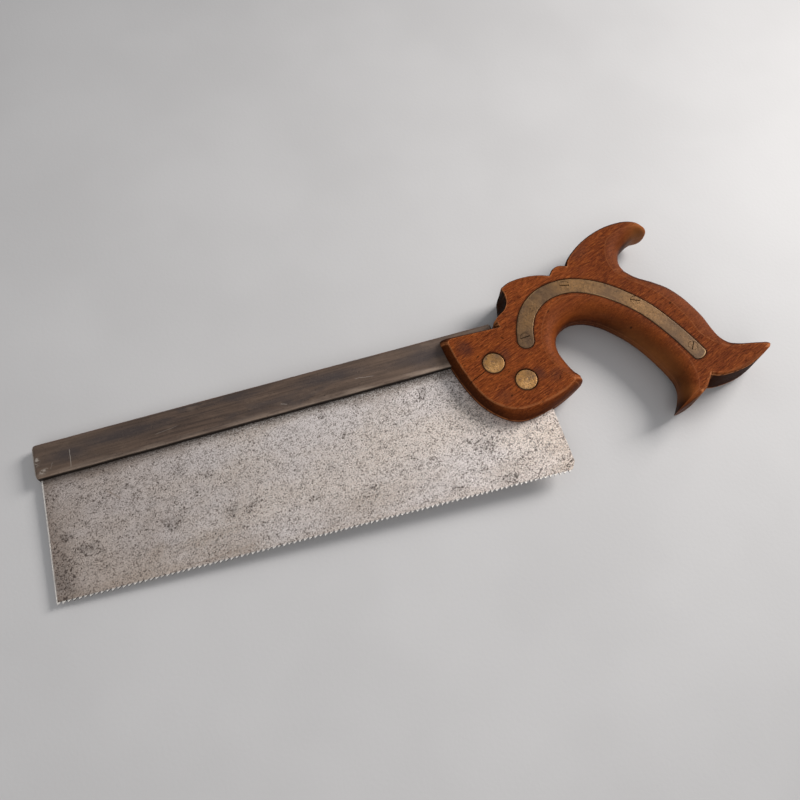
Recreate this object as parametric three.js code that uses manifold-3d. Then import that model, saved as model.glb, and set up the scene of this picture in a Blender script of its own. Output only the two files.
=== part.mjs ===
// Back saw: a toothed steel plate, stiffened along its top by a folded steel back, in an open
// wooden handle held by two bolts with split nuts, with a brass strap let into its show side.
//
// Millimetres. The saw lies on its side. +X runs along the back from the toe to the handle,
// +Y from the teeth to the back, +Z from the nut side up to the show side. While the pieces are
// drawn, x = 0 is the toe, y = 0 is the lower edge of the back and z = 0 is the nut-side face of
// the handle. At the end the group moves so that its box stands on the middle of its base.
import * as THREE from "three";
import { mergeVertices } from "three/addons/utils/BufferGeometryUtils.js";
import Module from "manifold-3d";

const wasm = await Module();
wasm.setup();

// Handle
const HANDLE_THICKNESS = 19;
const MIDDLE = HANDLE_THICKNESS / 2;
const EDGE_STEPS = 5; // steps round an edge, from the rim to the flat face

// Saw plate
const PLATE_THICKNESS = 0.7;
const TOOTH_PITCH = 2.56;
const TOOTH_COUNT = 100;
const TOOTH_DEPTH = 1.5;
const TOOTH_RAKE = THREE.MathUtils.degToRad(6); // the front of a tooth leans back from the toe
const TOE_DEPTH = 62.7; // back's lower edge to tooth line, at the toe
const TOE_SLANT = 0.0117; // the toe edge leans out towards the teeth
const TOOTH_LINE_SLOPE = 0.0349;
const PLATE_IN_BACK = 9.7; // how far the plate goes up inside the fold
const HEEL_X = 257.7;
const HEEL_CORNER = 5; // height of the snipped corner above the last tooth
const HEEL_TOP_Y = -8; // inside the handle the heel slants from here up to the back
const PLATE_TOP_END = 241.5;

// Back
const BACK_LENGTH = 242;
const BACK_HEIGHT = 19.3;
const BACK_THICKNESS = 6.6;
const BACK_TOP_RADIUS = 2.4;
const BACK_LIP_RADIUS = 1.4;
const BACK_HEEL_CHAMFER = 0.8;
// The toe end of the back stands out past the plate and is filed round: how far it is drawn in
// at its very end, along the saw, at the sides, at the lips and at the top.
const BACK_NOSE = { reach: 2.2, run: 2, side: 1.9, lip: 4.5, top: 1.3, steps: 5 };
const FOLD_DEPTH = 10;
const FOLD_WIDTH = 1.1;

// Bolts and split nuts
const BOLTS = [
  [234.3, -6.9],
  [247.4, -20.6],
];
const DISC_RADIUS = 5.7; // bolt heads and nuts look alike from outside
const DISC_THICKNESS = 1.9;
const DISC_SINK = 0.1; // discs sit this much below the wood
const DISC_CHAMFER = 0.35;
const NECK_WIDTH = 5.4;
const NECK_END_Z = 14;
const SHANK_RADIUS = 2.6;
const SHANK_END_Z = 0.9;
const NUT_BOSS_RADIUS = 3.9;
const NUT_BOSS_END_Z = 7;
const NUT_SLOT_WIDTH = 1.4;
const NUT_SLOT_DEPTH = 1.1;

// Brass strap and its screws
const STRAP_THICKNESS = 1.8;
const STRAP_HALF_WIDTH = [4.4, 4]; // at the front end and at the grip end
const STRAP_END_DEPTH = [4.4, 2.6];
const STRAP_STEPS = 30;
const STRAP_LINE = [
  [254.9, 0.4],
  [257.2, 8],
  [262.3, 16.5],
  [270.8, 23],
  [280.8, 25.6],
  [290.9, 24.8],
  [302.9, 19.5],
  [313.5, 11],
  [323.4, -0.1],
  [331.1, -13.2],
  [337.1, -26.2],
  [339.6, -32.6],
];
// centre, and the angle of the driver slot in degrees
const STRAP_SCREWS = [
  [255.4, 2.5, 4],
  [286.9, 26.2, -14],
  [320.1, 6.7, -26],
  [338.3, -27.4, 55],
];
const SCREW_HEAD_RADIUS = 2.5;
const SCREW_SHANK_RADIUS = 1.2;
const SCREW_HEAD_DEPTH = 1.3;
const SCREW_LENGTH = 8;
const SCREW_SLOT_WIDTH = 0.6;
const SCREW_SLOT_DEPTH = 0.6;

// Clearances
const FIT = 0.3; // round a bolt, a nut or the back
const PLATE_FIT = 0.2; // each side of the plate, and round the strap

// The outline of the handle, clockwise from the top front corner of the cheek. A row is one
// section through the edge: the rim point at half thickness, then the point where the edge meets
// the flat face. `wall` is the upright share of the half thickness at the first and last row, and
// `round` is how far the rest bulges: 1 a quarter ellipse, 0 a plain bevel, below 0 a hollow.
const HANDLE_EDGE = [
  {
    part: "cheek top corner", steps: 3, wall: [0.3, 0.3], round: [0.5, 0.5],
    rows: [[212.1, 13.8, 215.4, 11], [212.7, 15.6, 216.1, 12.3], [214.8, 16.2, 217.8, 12.8]],
  },
  {
    part: "cheek top", steps: 1, wall: [0.3, 0.3], round: [0.5, 0.5],
    rows: [[214.8, 16.2, 217.8, 12.8], [243.4, 14.4, 244.9, 11.9]],
  },
  {
    part: "nose lip", steps: 1, wall: [0.3, 0.8], round: [0.5, 0.5],
    rows: [[243.4, 14.4, 244.9, 11.9], [243.2, 16.8, 244.3, 17.2]],
  },
  {
    part: "nose hollow", steps: 10, wall: [0.15, 0.15], round: [-0.4, -0.4],
    rows: [
      [243.2, 16.8, 244.3, 17.2], [245.6, 19.1, 247.1, 19.1], [248.2, 22.4, 250.2, 21],
      [249.6, 26.8, 252.9, 24.6], [250.6, 30.6, 254, 29.4], [253.4, 34.6, 253.5, 33.8],
    ],
  },
  {
    part: "nose hump", steps: 9, wall: [0.88, 0.88], round: [1, 1],
    rows: [
      [253.4, 34.6, 253.5, 33.8], [257.9, 36.7, 258.3, 35.9], [264, 37.6, 264, 36.8],
      [271, 37.4, 271, 36.6], [276.3, 36.4, 276.1, 35.6], [281.4, 34.6, 281.4, 33.5],
    ],
  },
  {
    part: "bead", steps: 6, wall: [0.88, 0.88], round: [1, 1],
    rows: [
      [281.4, 34.6, 281.4, 33.5], [284.4, 37.8, 284.9, 37], [287.8, 39, 287.9, 38.2],
      [292.8, 37.8, 292.9, 36.6],
    ],
  },
  {
    part: "horn top", steps: 20, wall: [0.88, 0.12], round: [1, 1],
    rows: [
      [292.8, 37.8, 292.9, 36.6], [293.9, 40.6, 294.8, 40], [296.7, 43.6, 297.5, 42.9],
      [304, 49, 304.7, 48.1], [312.5, 53.4, 313.2, 52], [322, 56.4, 322.3, 54.4],
      [332, 57.5, 331.7, 54.6], [337.6, 56.6, 336.5, 53.9], [341.9, 54.4, 339.3, 53],
      [344.9, 51.4, 340.2, 52.2], [347, 48.5, 340.4, 51.5],
    ],
  },
  {
    part: "horn underside and throat", steps: 13, wall: [0.12, 0.12], round: [1, 1],
    rows: [
      [347, 48.5, 340.4, 51.5], [345.5, 47.5, 339.4, 51.3], [339.6, 47.2, 334.8, 51.6],
      [332.9, 44.4, 327.6, 50.6], [326.8, 39.9, 320, 46.4], [324.2, 34.9, 316.3, 39.2],
      [323.8, 31, 315.4, 32.4], [324.8, 27, 316.6, 26.2],
    ],
  },
  {
    part: "back of the grip", steps: 14, wall: [0.12, 0.7], round: [1, 1],
    rows: [
      [324.8, 27, 316.6, 26.2], [328.9, 21.8, 321.8, 20], [336.3, 16.6, 330.6, 11.6],
      [342.3, 11.4, 335.4, 5], [347.6, 3.4, 339.1, -1.2], [351, -4.8, 341.8, -7.8],
      [353.2, -12.2, 343.8, -14.2], [354.4, -20, 345, -20.8], [355.9, -26, 350.2, -28.2],
      [358.8, -30.2, 355.8, -33], [364, -32.9, 363.4, -34.4],
    ],
  },
  {
    part: "tail horn top", steps: 3, wall: [0.7, 0.8], round: [1, 1],
    rows: [[364, -32.9, 363.4, -34.4], [371, -34.6, 370.6, -35.8], [377.4, -36.2, 375.8, -37.3]],
  },
  {
    part: "tail horn tip", steps: 2, wall: [0.8, 0.8], round: [1, 1],
    rows: [[377.4, -36.2, 375.8, -37.3], [379, -37.6, 376.6, -37.9], [377.9, -39.2, 375.8, -38.5]],
  },
  {
    part: "tail horn underside", steps: 8, wall: [0.88, 0.88], round: [1, 1],
    rows: [
      [377.9, -39.2, 375.8, -38.5], [369.6, -43.4, 368.9, -42.4], [361.4, -46.2, 361.2, -45],
      [351.2, -47.3, 351.2, -46.2], [344.8, -46.8, 345.2, -45.6], [340.8, -45, 340.8, -44],
    ],
  },
  {
    part: "spur underside", steps: 4, wall: [0.88, 0.85], round: [1, 1],
    rows: [
      [340.8, -45, 340.8, -44], [338.5, -47.8, 337.6, -47.2], [335.3, -51.4, 334.4, -50.6],
      [331.5, -53.6, 331.6, -52.3],
    ],
  },
  {
    part: "spur tip", steps: 4, wall: [0.85, 0.1], round: [1, 1],
    rows: [
      [331.5, -53.6, 331.6, -52.3], [325.5, -55.9, 331.3, -51.9], [320.5, -57.3, 331, -51.5],
      [317.4, -57.9, 330.7, -51],
    ],
  },
  {
    part: "front of the grip and finger gap", steps: 28, wall: [0.1, 0.12], round: [1, 1],
    rows: [
      [317.4, -57.9, 330.7, -51], [321.2, -52.9, 332, -48.5], [324.4, -46.8, 333.2, -44.5],
      [325.1, -40.8, 333.4, -39.5], [323.2, -33.8, 333, -33.5], [319.1, -23.7, 330.4, -25],
      [313.5, -13.5, 325.8, -14], [306.9, -5, 318.6, -2.2], [299.1, 2.4, 308.5, 8.7],
      [291.6, 6.2, 295.8, 16.9], [283.8, 6.8, 283.5, 19.3], [277, 3.9, 273.5, 15.2],
      [272.6, -1.4, 264.6, 2.6], [271.3, -8, 262.7, -7], [272.5, -14.4, 264, -14.2],
      [274.9, -21.4, 267.2, -20.8], [277.4, -25.4, 270.9, -25.8],
    ],
  },
  {
    part: "cheek bottom and front", steps: 24, wall: [0.12, 0.3], round: [0.8, 0.5],
    rows: [
      [277.4, -25.4, 270.9, -25.8], [277.7, -27.3, 271.5, -27.1], [274.6, -29.5, 270.3, -28.5],
      [264.2, -34.3, 262.9, -31.7], [255.9, -37.1, 255.2, -33.8], [247.3, -38.9, 247.2, -34.7],
      [240.4, -39.2, 240.9, -34.8], [233.8, -37, 236, -33.6], [227.3, -31.6, 230.2, -30.2],
      [222, -24.6, 225.4, -25.2], [218.2, -16.1, 221.6, -17.8], [215.3, -6.6, 219.2, -9.6],
      [213.2, 3.4, 217, -0.3], [212.1, 13.8, 215.4, 11],
    ],
  },
];

// ---------------------------------------------------------------- shapes and solids

const lerp = THREE.MathUtils.lerp;
const flat = ([x, y]) => new THREE.Vector2(x, y);

function smoothCurve(points) {
  return new THREE.CatmullRomCurve3(points.map(([x, y]) => new THREE.Vector3(x, y, 0)));
}

function solidOf(geometry) {
  geometry.deleteAttribute("normal");
  geometry.deleteAttribute("uv");
  const merged = mergeVertices(geometry, 1e-4);
  return new wasm.Manifold(
    new wasm.Mesh({
      numProp: 3,
      vertProperties: merged.attributes.position.array,
      triVerts: new Uint32Array(merged.index.array),
    }),
  );
}

// A flat outline carried from z = low to z = high.
function slab(points, low, high) {
  const shape = new THREE.Shape(points);
  const geometry = new THREE.ExtrudeGeometry(shape, { depth: high - low, bevelEnabled: false });
  return solidOf(geometry.translate(0, 0, low));
}

function block(x, y, width, height, low, high) {
  const geometry = new THREE.BoxGeometry(width, height, high - low);
  return solidOf(geometry.translate(x, y, (low + high) / 2));
}

// A turned piece about an upright axis at (x, y), from [radius, z] points, lowest first.
function turned(x, y, profile, sides) {
  const geometry = new THREE.LatheGeometry(profile.map(flat), sides);
  return solidOf(geometry.rotateX(Math.PI / 2).translate(x, y, 0));
}

function rod(x, y, radius, low, high, sides) {
  return turned(x, y, [[0, low], [radius, low], [radius, high], [0, high]], sides);
}

// Rings of equal length joined in order, closed by a cap at each end. `capOutline` is the ring
// laid flat, for the triangles of the caps. The rings run clockwise seen from the last one.
function loft(rings, capOutline) {
  const count = rings[0].length;
  const last = (rings.length - 1) * count;
  const indices = [];
  for (let level = 0; level < rings.length - 1; level++) {
    for (let i = 0; i < count; i++) {
      const low = level * count + i;
      const lowNext = level * count + ((i + 1) % count);
      indices.push(low, low + count, lowNext + count);
      indices.push(low, lowNext + count, lowNext);
    }
  }
  for (const [a, b, c] of THREE.ShapeUtils.triangulateShape(capOutline, [])) {
    indices.push(last + a, last + b, last + c);
    indices.push(a, c, b);
  }
  const geometry = new THREE.BufferGeometry().setFromPoints(rings.flat()).setIndex(indices);
  return solidOf(geometry);
}

// ---------------------------------------------------------------- handle

// One section per step of the outline: rim, face point, wall share and bulge.
function handleSections() {
  return HANDLE_EDGE.flatMap(({ steps, wall, round, rows }) => {
    const rim = smoothCurve(rows.map((row) => row.slice(0, 2)));
    const face = smoothCurve(rows.map((row) => row.slice(2)));
    return Array.from({ length: steps }, (_, i) => ({
      rim: rim.getPoint(i / steps),
      face: face.getPoint(i / steps),
      wall: lerp(wall[0], wall[1], i / steps),
      round: lerp(round[0], round[1], i / steps),
    }));
  });
}

// The point of a section at `step` of EDGE_STEPS from rim to face, on side +1 or -1.
function edgePoint({ rim, face, wall, round }, step, side) {
  const straight = step / EDGE_STEPS;
  const angle = (straight * Math.PI) / 2;
  const across = lerp(straight, 1 - Math.cos(angle), round);
  const up = wall + (1 - wall) * lerp(straight, Math.sin(angle), round);
  const point = rim.clone().lerp(face, across);
  return point.setZ(MIDDLE + side * up * MIDDLE);
}

function handleBlank() {
  const sections = handleSections();
  const steps = Array.from({ length: EDGE_STEPS + 1 }, (_, i) => i);
  const ring = (step, side) => sections.map((section) => edgePoint(section, step, side));
  const under = steps.map((step) => ring(step, -1)).reverse();
  const over = steps.map((step) => ring(step, 1));
  return loft([...under, ...over], sections.map(({ face }) => new THREE.Vector2(face.x, face.y)));
}

// Everything that is cut out of the wood for one bolt, its square neck and its nut.
function boltPassage([x, y]) {
  const neck = NECK_WIDTH + 2 * FIT;
  const headSeat = HANDLE_THICKNESS - DISC_SINK - DISC_THICKNESS - FIT;
  const nutSeat = DISC_SINK + DISC_THICKNESS + FIT;
  return rod(x, y, SHANK_RADIUS + FIT, -1, HANDLE_THICKNESS + 1, 16)
    .add(rod(x, y, DISC_RADIUS + FIT, headSeat, HANDLE_THICKNESS + 1, 32))
    .add(rod(x, y, DISC_RADIUS + FIT, -1, nutSeat, 32))
    .add(rod(x, y, NUT_BOSS_RADIUS + FIT, -1, NUT_BOSS_END_Z + FIT, 24))
    .add(block(x, y, neck, neck, NECK_END_Z - FIT, HANDLE_THICKNESS));
}

function handle() {
  const halfSlot = PLATE_THICKNESS / 2 + PLATE_FIT;
  const halfMortise = BACK_THICKNESS / 2 + FIT;
  const front = 200;
  const low = -60;
  const slotOutline = [
    [front, FOLD_DEPTH],
    [BACK_LENGTH + FIT, FOLD_DEPTH],
    [HEEL_X + FIT, HEEL_TOP_Y + FIT],
    [HEEL_X + FIT, low],
    [front, low],
  ];
  const mortiseOutline = [
    [front, -FIT],
    [BACK_LENGTH + FIT, -FIT],
    [BACK_LENGTH + FIT, BACK_HEIGHT + FIT],
    [front, BACK_HEIGHT + FIT],
  ];
  const seat = HANDLE_THICKNESS - STRAP_THICKNESS - PLATE_FIT;
  let wood = handleBlank()
    .subtract(slab(slotOutline.map(flat), MIDDLE - halfSlot, MIDDLE + halfSlot))
    .subtract(slab(mortiseOutline.map(flat), MIDDLE - halfMortise, MIDDLE + halfMortise))
    .subtract(slab(strapOutline(PLATE_FIT), seat, HANDLE_THICKNESS + 1));
  for (const bolt of BOLTS) wood = wood.subtract(boltPassage(bolt));
  for (const [x, y] of STRAP_SCREWS) {
    const tip = HANDLE_THICKNESS - SCREW_LENGTH - FIT;
    wood = wood.subtract(rod(x, y, SCREW_SHANK_RADIUS + FIT, tip, HANDLE_THICKNESS, 12));
  }
  return wood;
}

// ---------------------------------------------------------------- saw plate and back

function toothLineY(x) {
  return -(TOE_DEPTH + TOOTH_LINE_SLOPE * x);
}

function sawPlate() {
  const toeX = -TOE_SLANT * TOE_DEPTH;
  const rakeRun = TOOTH_DEPTH * Math.tan(TOOTH_RAKE);
  const outline = [flat([0, PLATE_IN_BACK])];
  for (let i = 0; i < TOOTH_COUNT; i++) {
    const root = toeX + i * TOOTH_PITCH;
    outline.push(flat([root, toothLineY(root) + TOOTH_DEPTH]));
    outline.push(flat([root + rakeRun, toothLineY(root + rakeRun)]));
  }
  const heel = toeX + TOOTH_COUNT * TOOTH_PITCH;
  outline.push(flat([heel, toothLineY(heel) + TOOTH_DEPTH]));
  outline.push(flat([HEEL_X, toothLineY(heel) + HEEL_CORNER]));
  outline.push(flat([HEEL_X, HEEL_TOP_Y]));
  outline.push(flat([PLATE_TOP_END, PLATE_IN_BACK]));
  const low = MIDDLE - PLATE_THICKNESS / 2;
  let plate = slab(outline, low, low + PLATE_THICKNESS);
  for (const [x, y] of BOLTS) {
    plate = plate.subtract(rod(x, y, SHANK_RADIUS + FIT, low - 1, low + PLATE_THICKNESS + 1, 16));
  }
  return plate;
}

// The cross-section of the back as [y, z - MIDDLE] points, pulled in at the sides, the lips and
// the top: a bar with a rounded top and rounded lips, folded round the slot that takes the plate.
function backSection(side, lip, top) {
  const half = BACK_THICKNESS / 2 - side;
  const slot = FOLD_WIDTH / 2;
  const lipRadius = Math.min(BACK_LIP_RADIUS, half - slot - 0.1);
  const topRadius = Math.min(BACK_TOP_RADIUS, half - 0.3);
  const arc = (y, z, radius, from, to) => {
    return [0, 1, 2, 3].map((i) => {
      const angle = lerp(from, to, i / 3);
      return [y + radius * Math.cos(angle), z + radius * Math.sin(angle)];
    });
  };
  const upperSide = [
    [FOLD_DEPTH, slot],
    [lip, slot],
    ...arc(lip + lipRadius, half - lipRadius, lipRadius, -Math.PI, -Math.PI * 1.5),
    ...arc(BACK_HEIGHT - top - topRadius, half - topRadius, topRadius, Math.PI / 2, 0),
  ];
  const lowerSide = upperSide.map(([y, z]) => [y, -z]).reverse();
  return [...upperSide, ...lowerSide];
}

function back() {
  const { reach, run, side, lip, top, steps } = BACK_NOSE;
  const stations = [];
  for (let i = 0; i <= steps; i++) {
    const angle = (i / steps) * (Math.PI / 2);
    const drawnIn = 1 - Math.sin(angle);
    const x = -reach + run * (1 - Math.cos(angle));
    stations.push([x, side * drawnIn, lip * drawnIn, top * drawnIn]);
  }
  const chamfer = BACK_HEEL_CHAMFER;
  stations.push([BACK_LENGTH - chamfer, 0, 0, 0]);
  stations.push([BACK_LENGTH, chamfer, chamfer, chamfer]);
  const rings = stations.map(([x, ...drawn]) => {
    return backSection(...drawn).map(([y, z]) => new THREE.Vector3(x, y, MIDDLE + z));
  });
  return loft(rings, backSection(side, lip, top).map(flat));
}

// ---------------------------------------------------------------- bolts and nuts

function sawBolt([x, y]) {
  const top = HANDLE_THICKNESS - DISC_SINK;
  const under = top - DISC_THICKNESS;
  const head = [
    [0, under],
    [DISC_RADIUS, under],
    [DISC_RADIUS, top - DISC_CHAMFER],
    [DISC_RADIUS - DISC_CHAMFER, top],
    [0, top],
  ];
  return turned(x, y, head, 32)
    .add(block(x, y, NECK_WIDTH, NECK_WIDTH, NECK_END_Z, under + DISC_THICKNESS / 2))
    .add(rod(x, y, SHANK_RADIUS, SHANK_END_Z, under, 16));
}

function splitNut([x, y]) {
  const face = DISC_SINK;
  const disc = [
    [0, face],
    [DISC_RADIUS - DISC_CHAMFER, face],
    [DISC_RADIUS, face + DISC_CHAMFER],
    [DISC_RADIUS, face + DISC_THICKNESS],
    [0, face + DISC_THICKNESS],
  ];
  const slotWide = 3 * DISC_RADIUS;
  return turned(x, y, disc, 32)
    .add(rod(x, y, NUT_BOSS_RADIUS, face + DISC_THICKNESS / 2, NUT_BOSS_END_Z, 24))
    .subtract(rod(x, y, SHANK_RADIUS + PLATE_FIT, -1, NUT_BOSS_END_Z + 1, 16))
    .subtract(block(x, y, slotWide, NUT_SLOT_WIDTH, -1, face + NUT_SLOT_DEPTH));
}

// ---------------------------------------------------------------- strap and screws

// The strap seen from above, grown by `grow`: a curved band with rounded ends.
function strapOutline(grow) {
  const line = smoothCurve(STRAP_LINE);
  const near = [];
  const far = [];
  for (let i = 0; i <= STRAP_STEPS; i++) {
    const along = i / STRAP_STEPS;
    const point = line.getPoint(along);
    const way = line.getTangent(along);
    const half = lerp(STRAP_HALF_WIDTH[0], STRAP_HALF_WIDTH[1], along) + grow;
    near.push(flat([point.x - way.y * half, point.y + way.x * half]));
    far.unshift(flat([point.x + way.y * half, point.y - way.x * half]));
  }
  const end = (along, side, half, depth) => {
    const point = line.getPoint(along);
    const way = line.getTangent(along).multiplyScalar(side);
    return [1, 2, 3, 4, 5].map((i) => {
      const angle = (i / 6) * Math.PI;
      const out = Math.sin(angle) * (depth + grow);
      const across = Math.cos(angle) * (half + grow);
      return flat([
        point.x + way.x * out - way.y * across,
        point.y + way.y * out + way.x * across,
      ]);
    });
  };
  const gripEnd = end(1, 1, STRAP_HALF_WIDTH[1], STRAP_END_DEPTH[1]);
  const frontEnd = end(0, -1, STRAP_HALF_WIDTH[0], STRAP_END_DEPTH[0]);
  return [...near, ...gripEnd, ...far, ...frontEnd];
}

// A countersunk screw, or the countersunk hole that clears it by `grow`.
function screwBody(x, y, grow, above, sides) {
  const top = HANDLE_THICKNESS - 0.1;
  return turned(x, y, [
    [0, top - SCREW_LENGTH],
    [SCREW_SHANK_RADIUS + grow, top - SCREW_LENGTH + 2],
    [SCREW_SHANK_RADIUS + grow, top - SCREW_HEAD_DEPTH - grow],
    [SCREW_HEAD_RADIUS + grow, top - 0.2 - grow],
    [SCREW_HEAD_RADIUS + grow, top + above],
    [0, top + above],
  ], sides);
}

function strap() {
  const seat = HANDLE_THICKNESS - STRAP_THICKNESS;
  let brass = slab(strapOutline(0), seat, HANDLE_THICKNESS);
  for (const [x, y] of STRAP_SCREWS) brass = brass.subtract(screwBody(x, y, PLATE_FIT, 1, 24));
  return brass;
}

function strapScrew([x, y, slotAngle]) {
  const length = 3 * SCREW_HEAD_RADIUS;
  const slot = new THREE.BoxGeometry(length, SCREW_SLOT_WIDTH, 2 * SCREW_SLOT_DEPTH)
    .rotateZ(THREE.MathUtils.degToRad(slotAngle))
    .translate(x, y, HANDLE_THICKNESS - 0.1);
  return screwBody(x, y, 0, 0, 24).subtract(solidOf(slot));
}

// ---------------------------------------------------------------- the saw

const WOOD = new THREE.MeshStandardMaterial({ color: 0x7a3f22, roughness: 0.5 });
const PLATE_STEEL = new THREE.MeshStandardMaterial({
  color: 0xa39a8f,
  roughness: 0.55,
  metalness: 0.8,
});
const BACK_STEEL = new THREE.MeshStandardMaterial({
  color: 0x5a514b,
  roughness: 0.5,
  metalness: 0.8,
});
const BRASS = new THREE.MeshStandardMaterial({ color: 0xb08c4c, roughness: 0.4, metalness: 0.9 });

const saw = new THREE.Group();

function addPiece(name, solid, material) {
  const mesh = solid.getMesh();
  const positions = new THREE.BufferAttribute(mesh.vertProperties, 3);
  const geometry = new THREE.BufferGeometry().setAttribute("position", positions);
  geometry.setIndex(new THREE.BufferAttribute(mesh.triVerts, 1));
  geometry.computeVertexNormals();
  const piece = new THREE.Mesh(geometry, material.clone());
  piece.name = name;
  saw.add(piece);
}

addPiece("handle", handle(), WOOD);
addPiece("saw_plate", sawPlate(), PLATE_STEEL);
addPiece("back", back(), BACK_STEEL);
BOLTS.forEach((bolt, i) => {
  addPiece("saw_bolt_" + (i + 1), sawBolt(bolt), BRASS);
  addPiece("split_nut_" + (i + 1), splitNut(bolt), BRASS);
});
addPiece("strap", strap(), BRASS);
STRAP_SCREWS.forEach((screw, i) => addPiece("strap_screw_" + (i + 1), strapScrew(screw), BRASS));

const box = new THREE.Box3().setFromObject(saw);
const middle = box.getCenter(new THREE.Vector3());
saw.position.set(-middle.x, -middle.y, -box.min.z);

export default saw;
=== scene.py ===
import math
import random

import bmesh
import bpy
import numpy as np
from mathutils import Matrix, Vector
from mathutils.kdtree import KDTree


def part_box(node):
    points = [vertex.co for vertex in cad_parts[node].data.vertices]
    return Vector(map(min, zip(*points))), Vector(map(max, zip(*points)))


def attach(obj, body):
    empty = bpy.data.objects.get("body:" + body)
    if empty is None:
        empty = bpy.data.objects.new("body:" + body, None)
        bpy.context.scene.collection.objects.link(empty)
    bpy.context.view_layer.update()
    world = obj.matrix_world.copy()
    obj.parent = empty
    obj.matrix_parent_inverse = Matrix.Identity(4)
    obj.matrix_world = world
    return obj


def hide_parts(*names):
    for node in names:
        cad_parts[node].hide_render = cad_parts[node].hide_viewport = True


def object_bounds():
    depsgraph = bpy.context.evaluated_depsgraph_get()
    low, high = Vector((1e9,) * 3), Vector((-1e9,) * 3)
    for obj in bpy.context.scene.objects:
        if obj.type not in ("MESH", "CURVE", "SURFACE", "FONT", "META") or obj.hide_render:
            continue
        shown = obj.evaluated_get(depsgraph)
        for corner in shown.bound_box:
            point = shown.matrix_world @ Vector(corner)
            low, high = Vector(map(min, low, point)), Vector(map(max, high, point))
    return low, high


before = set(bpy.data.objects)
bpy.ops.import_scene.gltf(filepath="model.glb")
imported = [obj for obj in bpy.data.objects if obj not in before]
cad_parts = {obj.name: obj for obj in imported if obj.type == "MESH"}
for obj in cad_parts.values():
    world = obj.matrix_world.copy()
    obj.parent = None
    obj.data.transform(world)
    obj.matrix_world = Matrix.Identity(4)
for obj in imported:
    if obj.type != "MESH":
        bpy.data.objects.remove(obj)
cad_low, cad_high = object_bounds()

# A back saw lying on its nut side. Lengths below are millimetres in the drawing frame of the CAD:
# x = 0 at the toe of the plate, y = 0 at the lower edge of the back, z = 0 at the nut-side face.
MM = 0.001
NOSE_REACH = 2.2
BACK_HEIGHT = 19.3
ORIGIN = Vector((
    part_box("back")[0].x + NOSE_REACH * MM,
    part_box("back")[1].y - BACK_HEIGHT * MM,
    0.0,
))

HANDLE_THICKNESS = 19.0
MIDDLE = HANDLE_THICKNESS / 2

PLATE_THICKNESS = 0.7
TOOTH_PITCH = 2.56
TOOTH_COUNT = 100
TOOTH_DEPTH = 1.5
TOOTH_RAKE = math.radians(6)
TOOTH_SET = 0.14
TOOTH_FLEAM = 0.16
TOE_DEPTH = 62.7
TOE_SLANT = 0.0117
TOOTH_LINE_SLOPE = 0.0349
PLATE_IN_BACK = 9.7
HEEL_X = 257.7
HEEL_CORNER = 5.0
HEEL_TOP_Y = -8.0
PLATE_TOP_END = 241.5

BACK_LENGTH = 242.0
BACK_THICKNESS = 6.6
BACK_TOP_RADIUS = 2.4
BACK_LIP_RADIUS = 1.4
BACK_HEEL_CHAMFER = 0.8
NOSE_RUN = 2.0
NOSE_SIDE = 1.9
NOSE_LIP = 4.5
NOSE_TOP = 1.3
FOLD_DEPTH = 10.0
FOLD_WIDTH = 1.1

BOLTS = [(234.3, -6.9), (247.4, -20.6)]
DISC_RADIUS = 5.7
DISC_THICKNESS = 1.9
DISC_SINK = 0.1
NECK_WIDTH = 5.4
NECK_END_Z = 14.0
SHANK_RADIUS = 2.6
SHANK_END_Z = 0.9
NUT_BOSS_RADIUS = 3.9
NUT_BOSS_END_Z = 7.0
NUT_SLOT_WIDTH = 1.4
NUT_SLOT_DEPTH = 1.1

STRAP_THICKNESS = 1.8
STRAP_HALF_WIDTH = (4.4, 4.0)
STRAP_END_DEPTH = (4.4, 2.6)
STRAP_RIM = 0.8
STRAP_LINE = [
    (254.9, 0.4), (257.2, 8), (262.3, 16.5), (270.8, 23), (280.8, 25.6), (290.9, 24.8),
    (302.9, 19.5), (313.5, 11), (323.4, -0.1), (331.1, -13.2), (337.1, -26.2), (339.6, -32.6),
]
# The strap's screws: x, y and how far the slot is turned, in degrees.
STRAP_SCREWS = [(255.4, 2.5, 4), (286.9, 26.2, -14), (320.1, 6.7, -26), (338.3, -27.4, 55)]
SCREW_HEAD_RADIUS = 2.5
SCREW_SHANK_RADIUS = 1.2
SCREW_HEAD_DEPTH = 1.3
SCREW_LENGTH = 8.0
SCREW_SLOT_WIDTH = 0.6
SCREW_SLOT_DEPTH = 0.6
SCREW_SINK = 0.1

FIT = 0.3
PLATE_FIT = 0.2
SCREW_FIT = 0.12
CUT_PAST = 1  # how far a cutter reaches past the surface

# Colours, linear
WOOD_DEEP = (0.124, 0.025, 0.007)
WOOD_MID = (0.236, 0.055, 0.015)
WOOD_WARM = (0.285, 0.068, 0.014)
WOOD_LIGHT = (0.470, 0.132, 0.030)
WOOD_PURPLE = (0.112, 0.030, 0.015)
WOOD_DARK = (0.030, 0.008, 0.003)
WOOD_HANDLED = (0.158, 0.036, 0.003)
# Painted light, for the horn's tip and the grip's lower side:
WOOD_PAINTED_LIGHT = (0.380, 0.130, 0.035)
# Dirt, and painted shade on faces turned to the toe or the top:
WOOD_GRIME_AND_SHADE = (0.022, 0.008, 0.003)
WOOD_STAIN = (0.055, 0.022, 0.018)
WOOD_ARRIS = (0.520, 0.190, 0.070)
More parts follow.
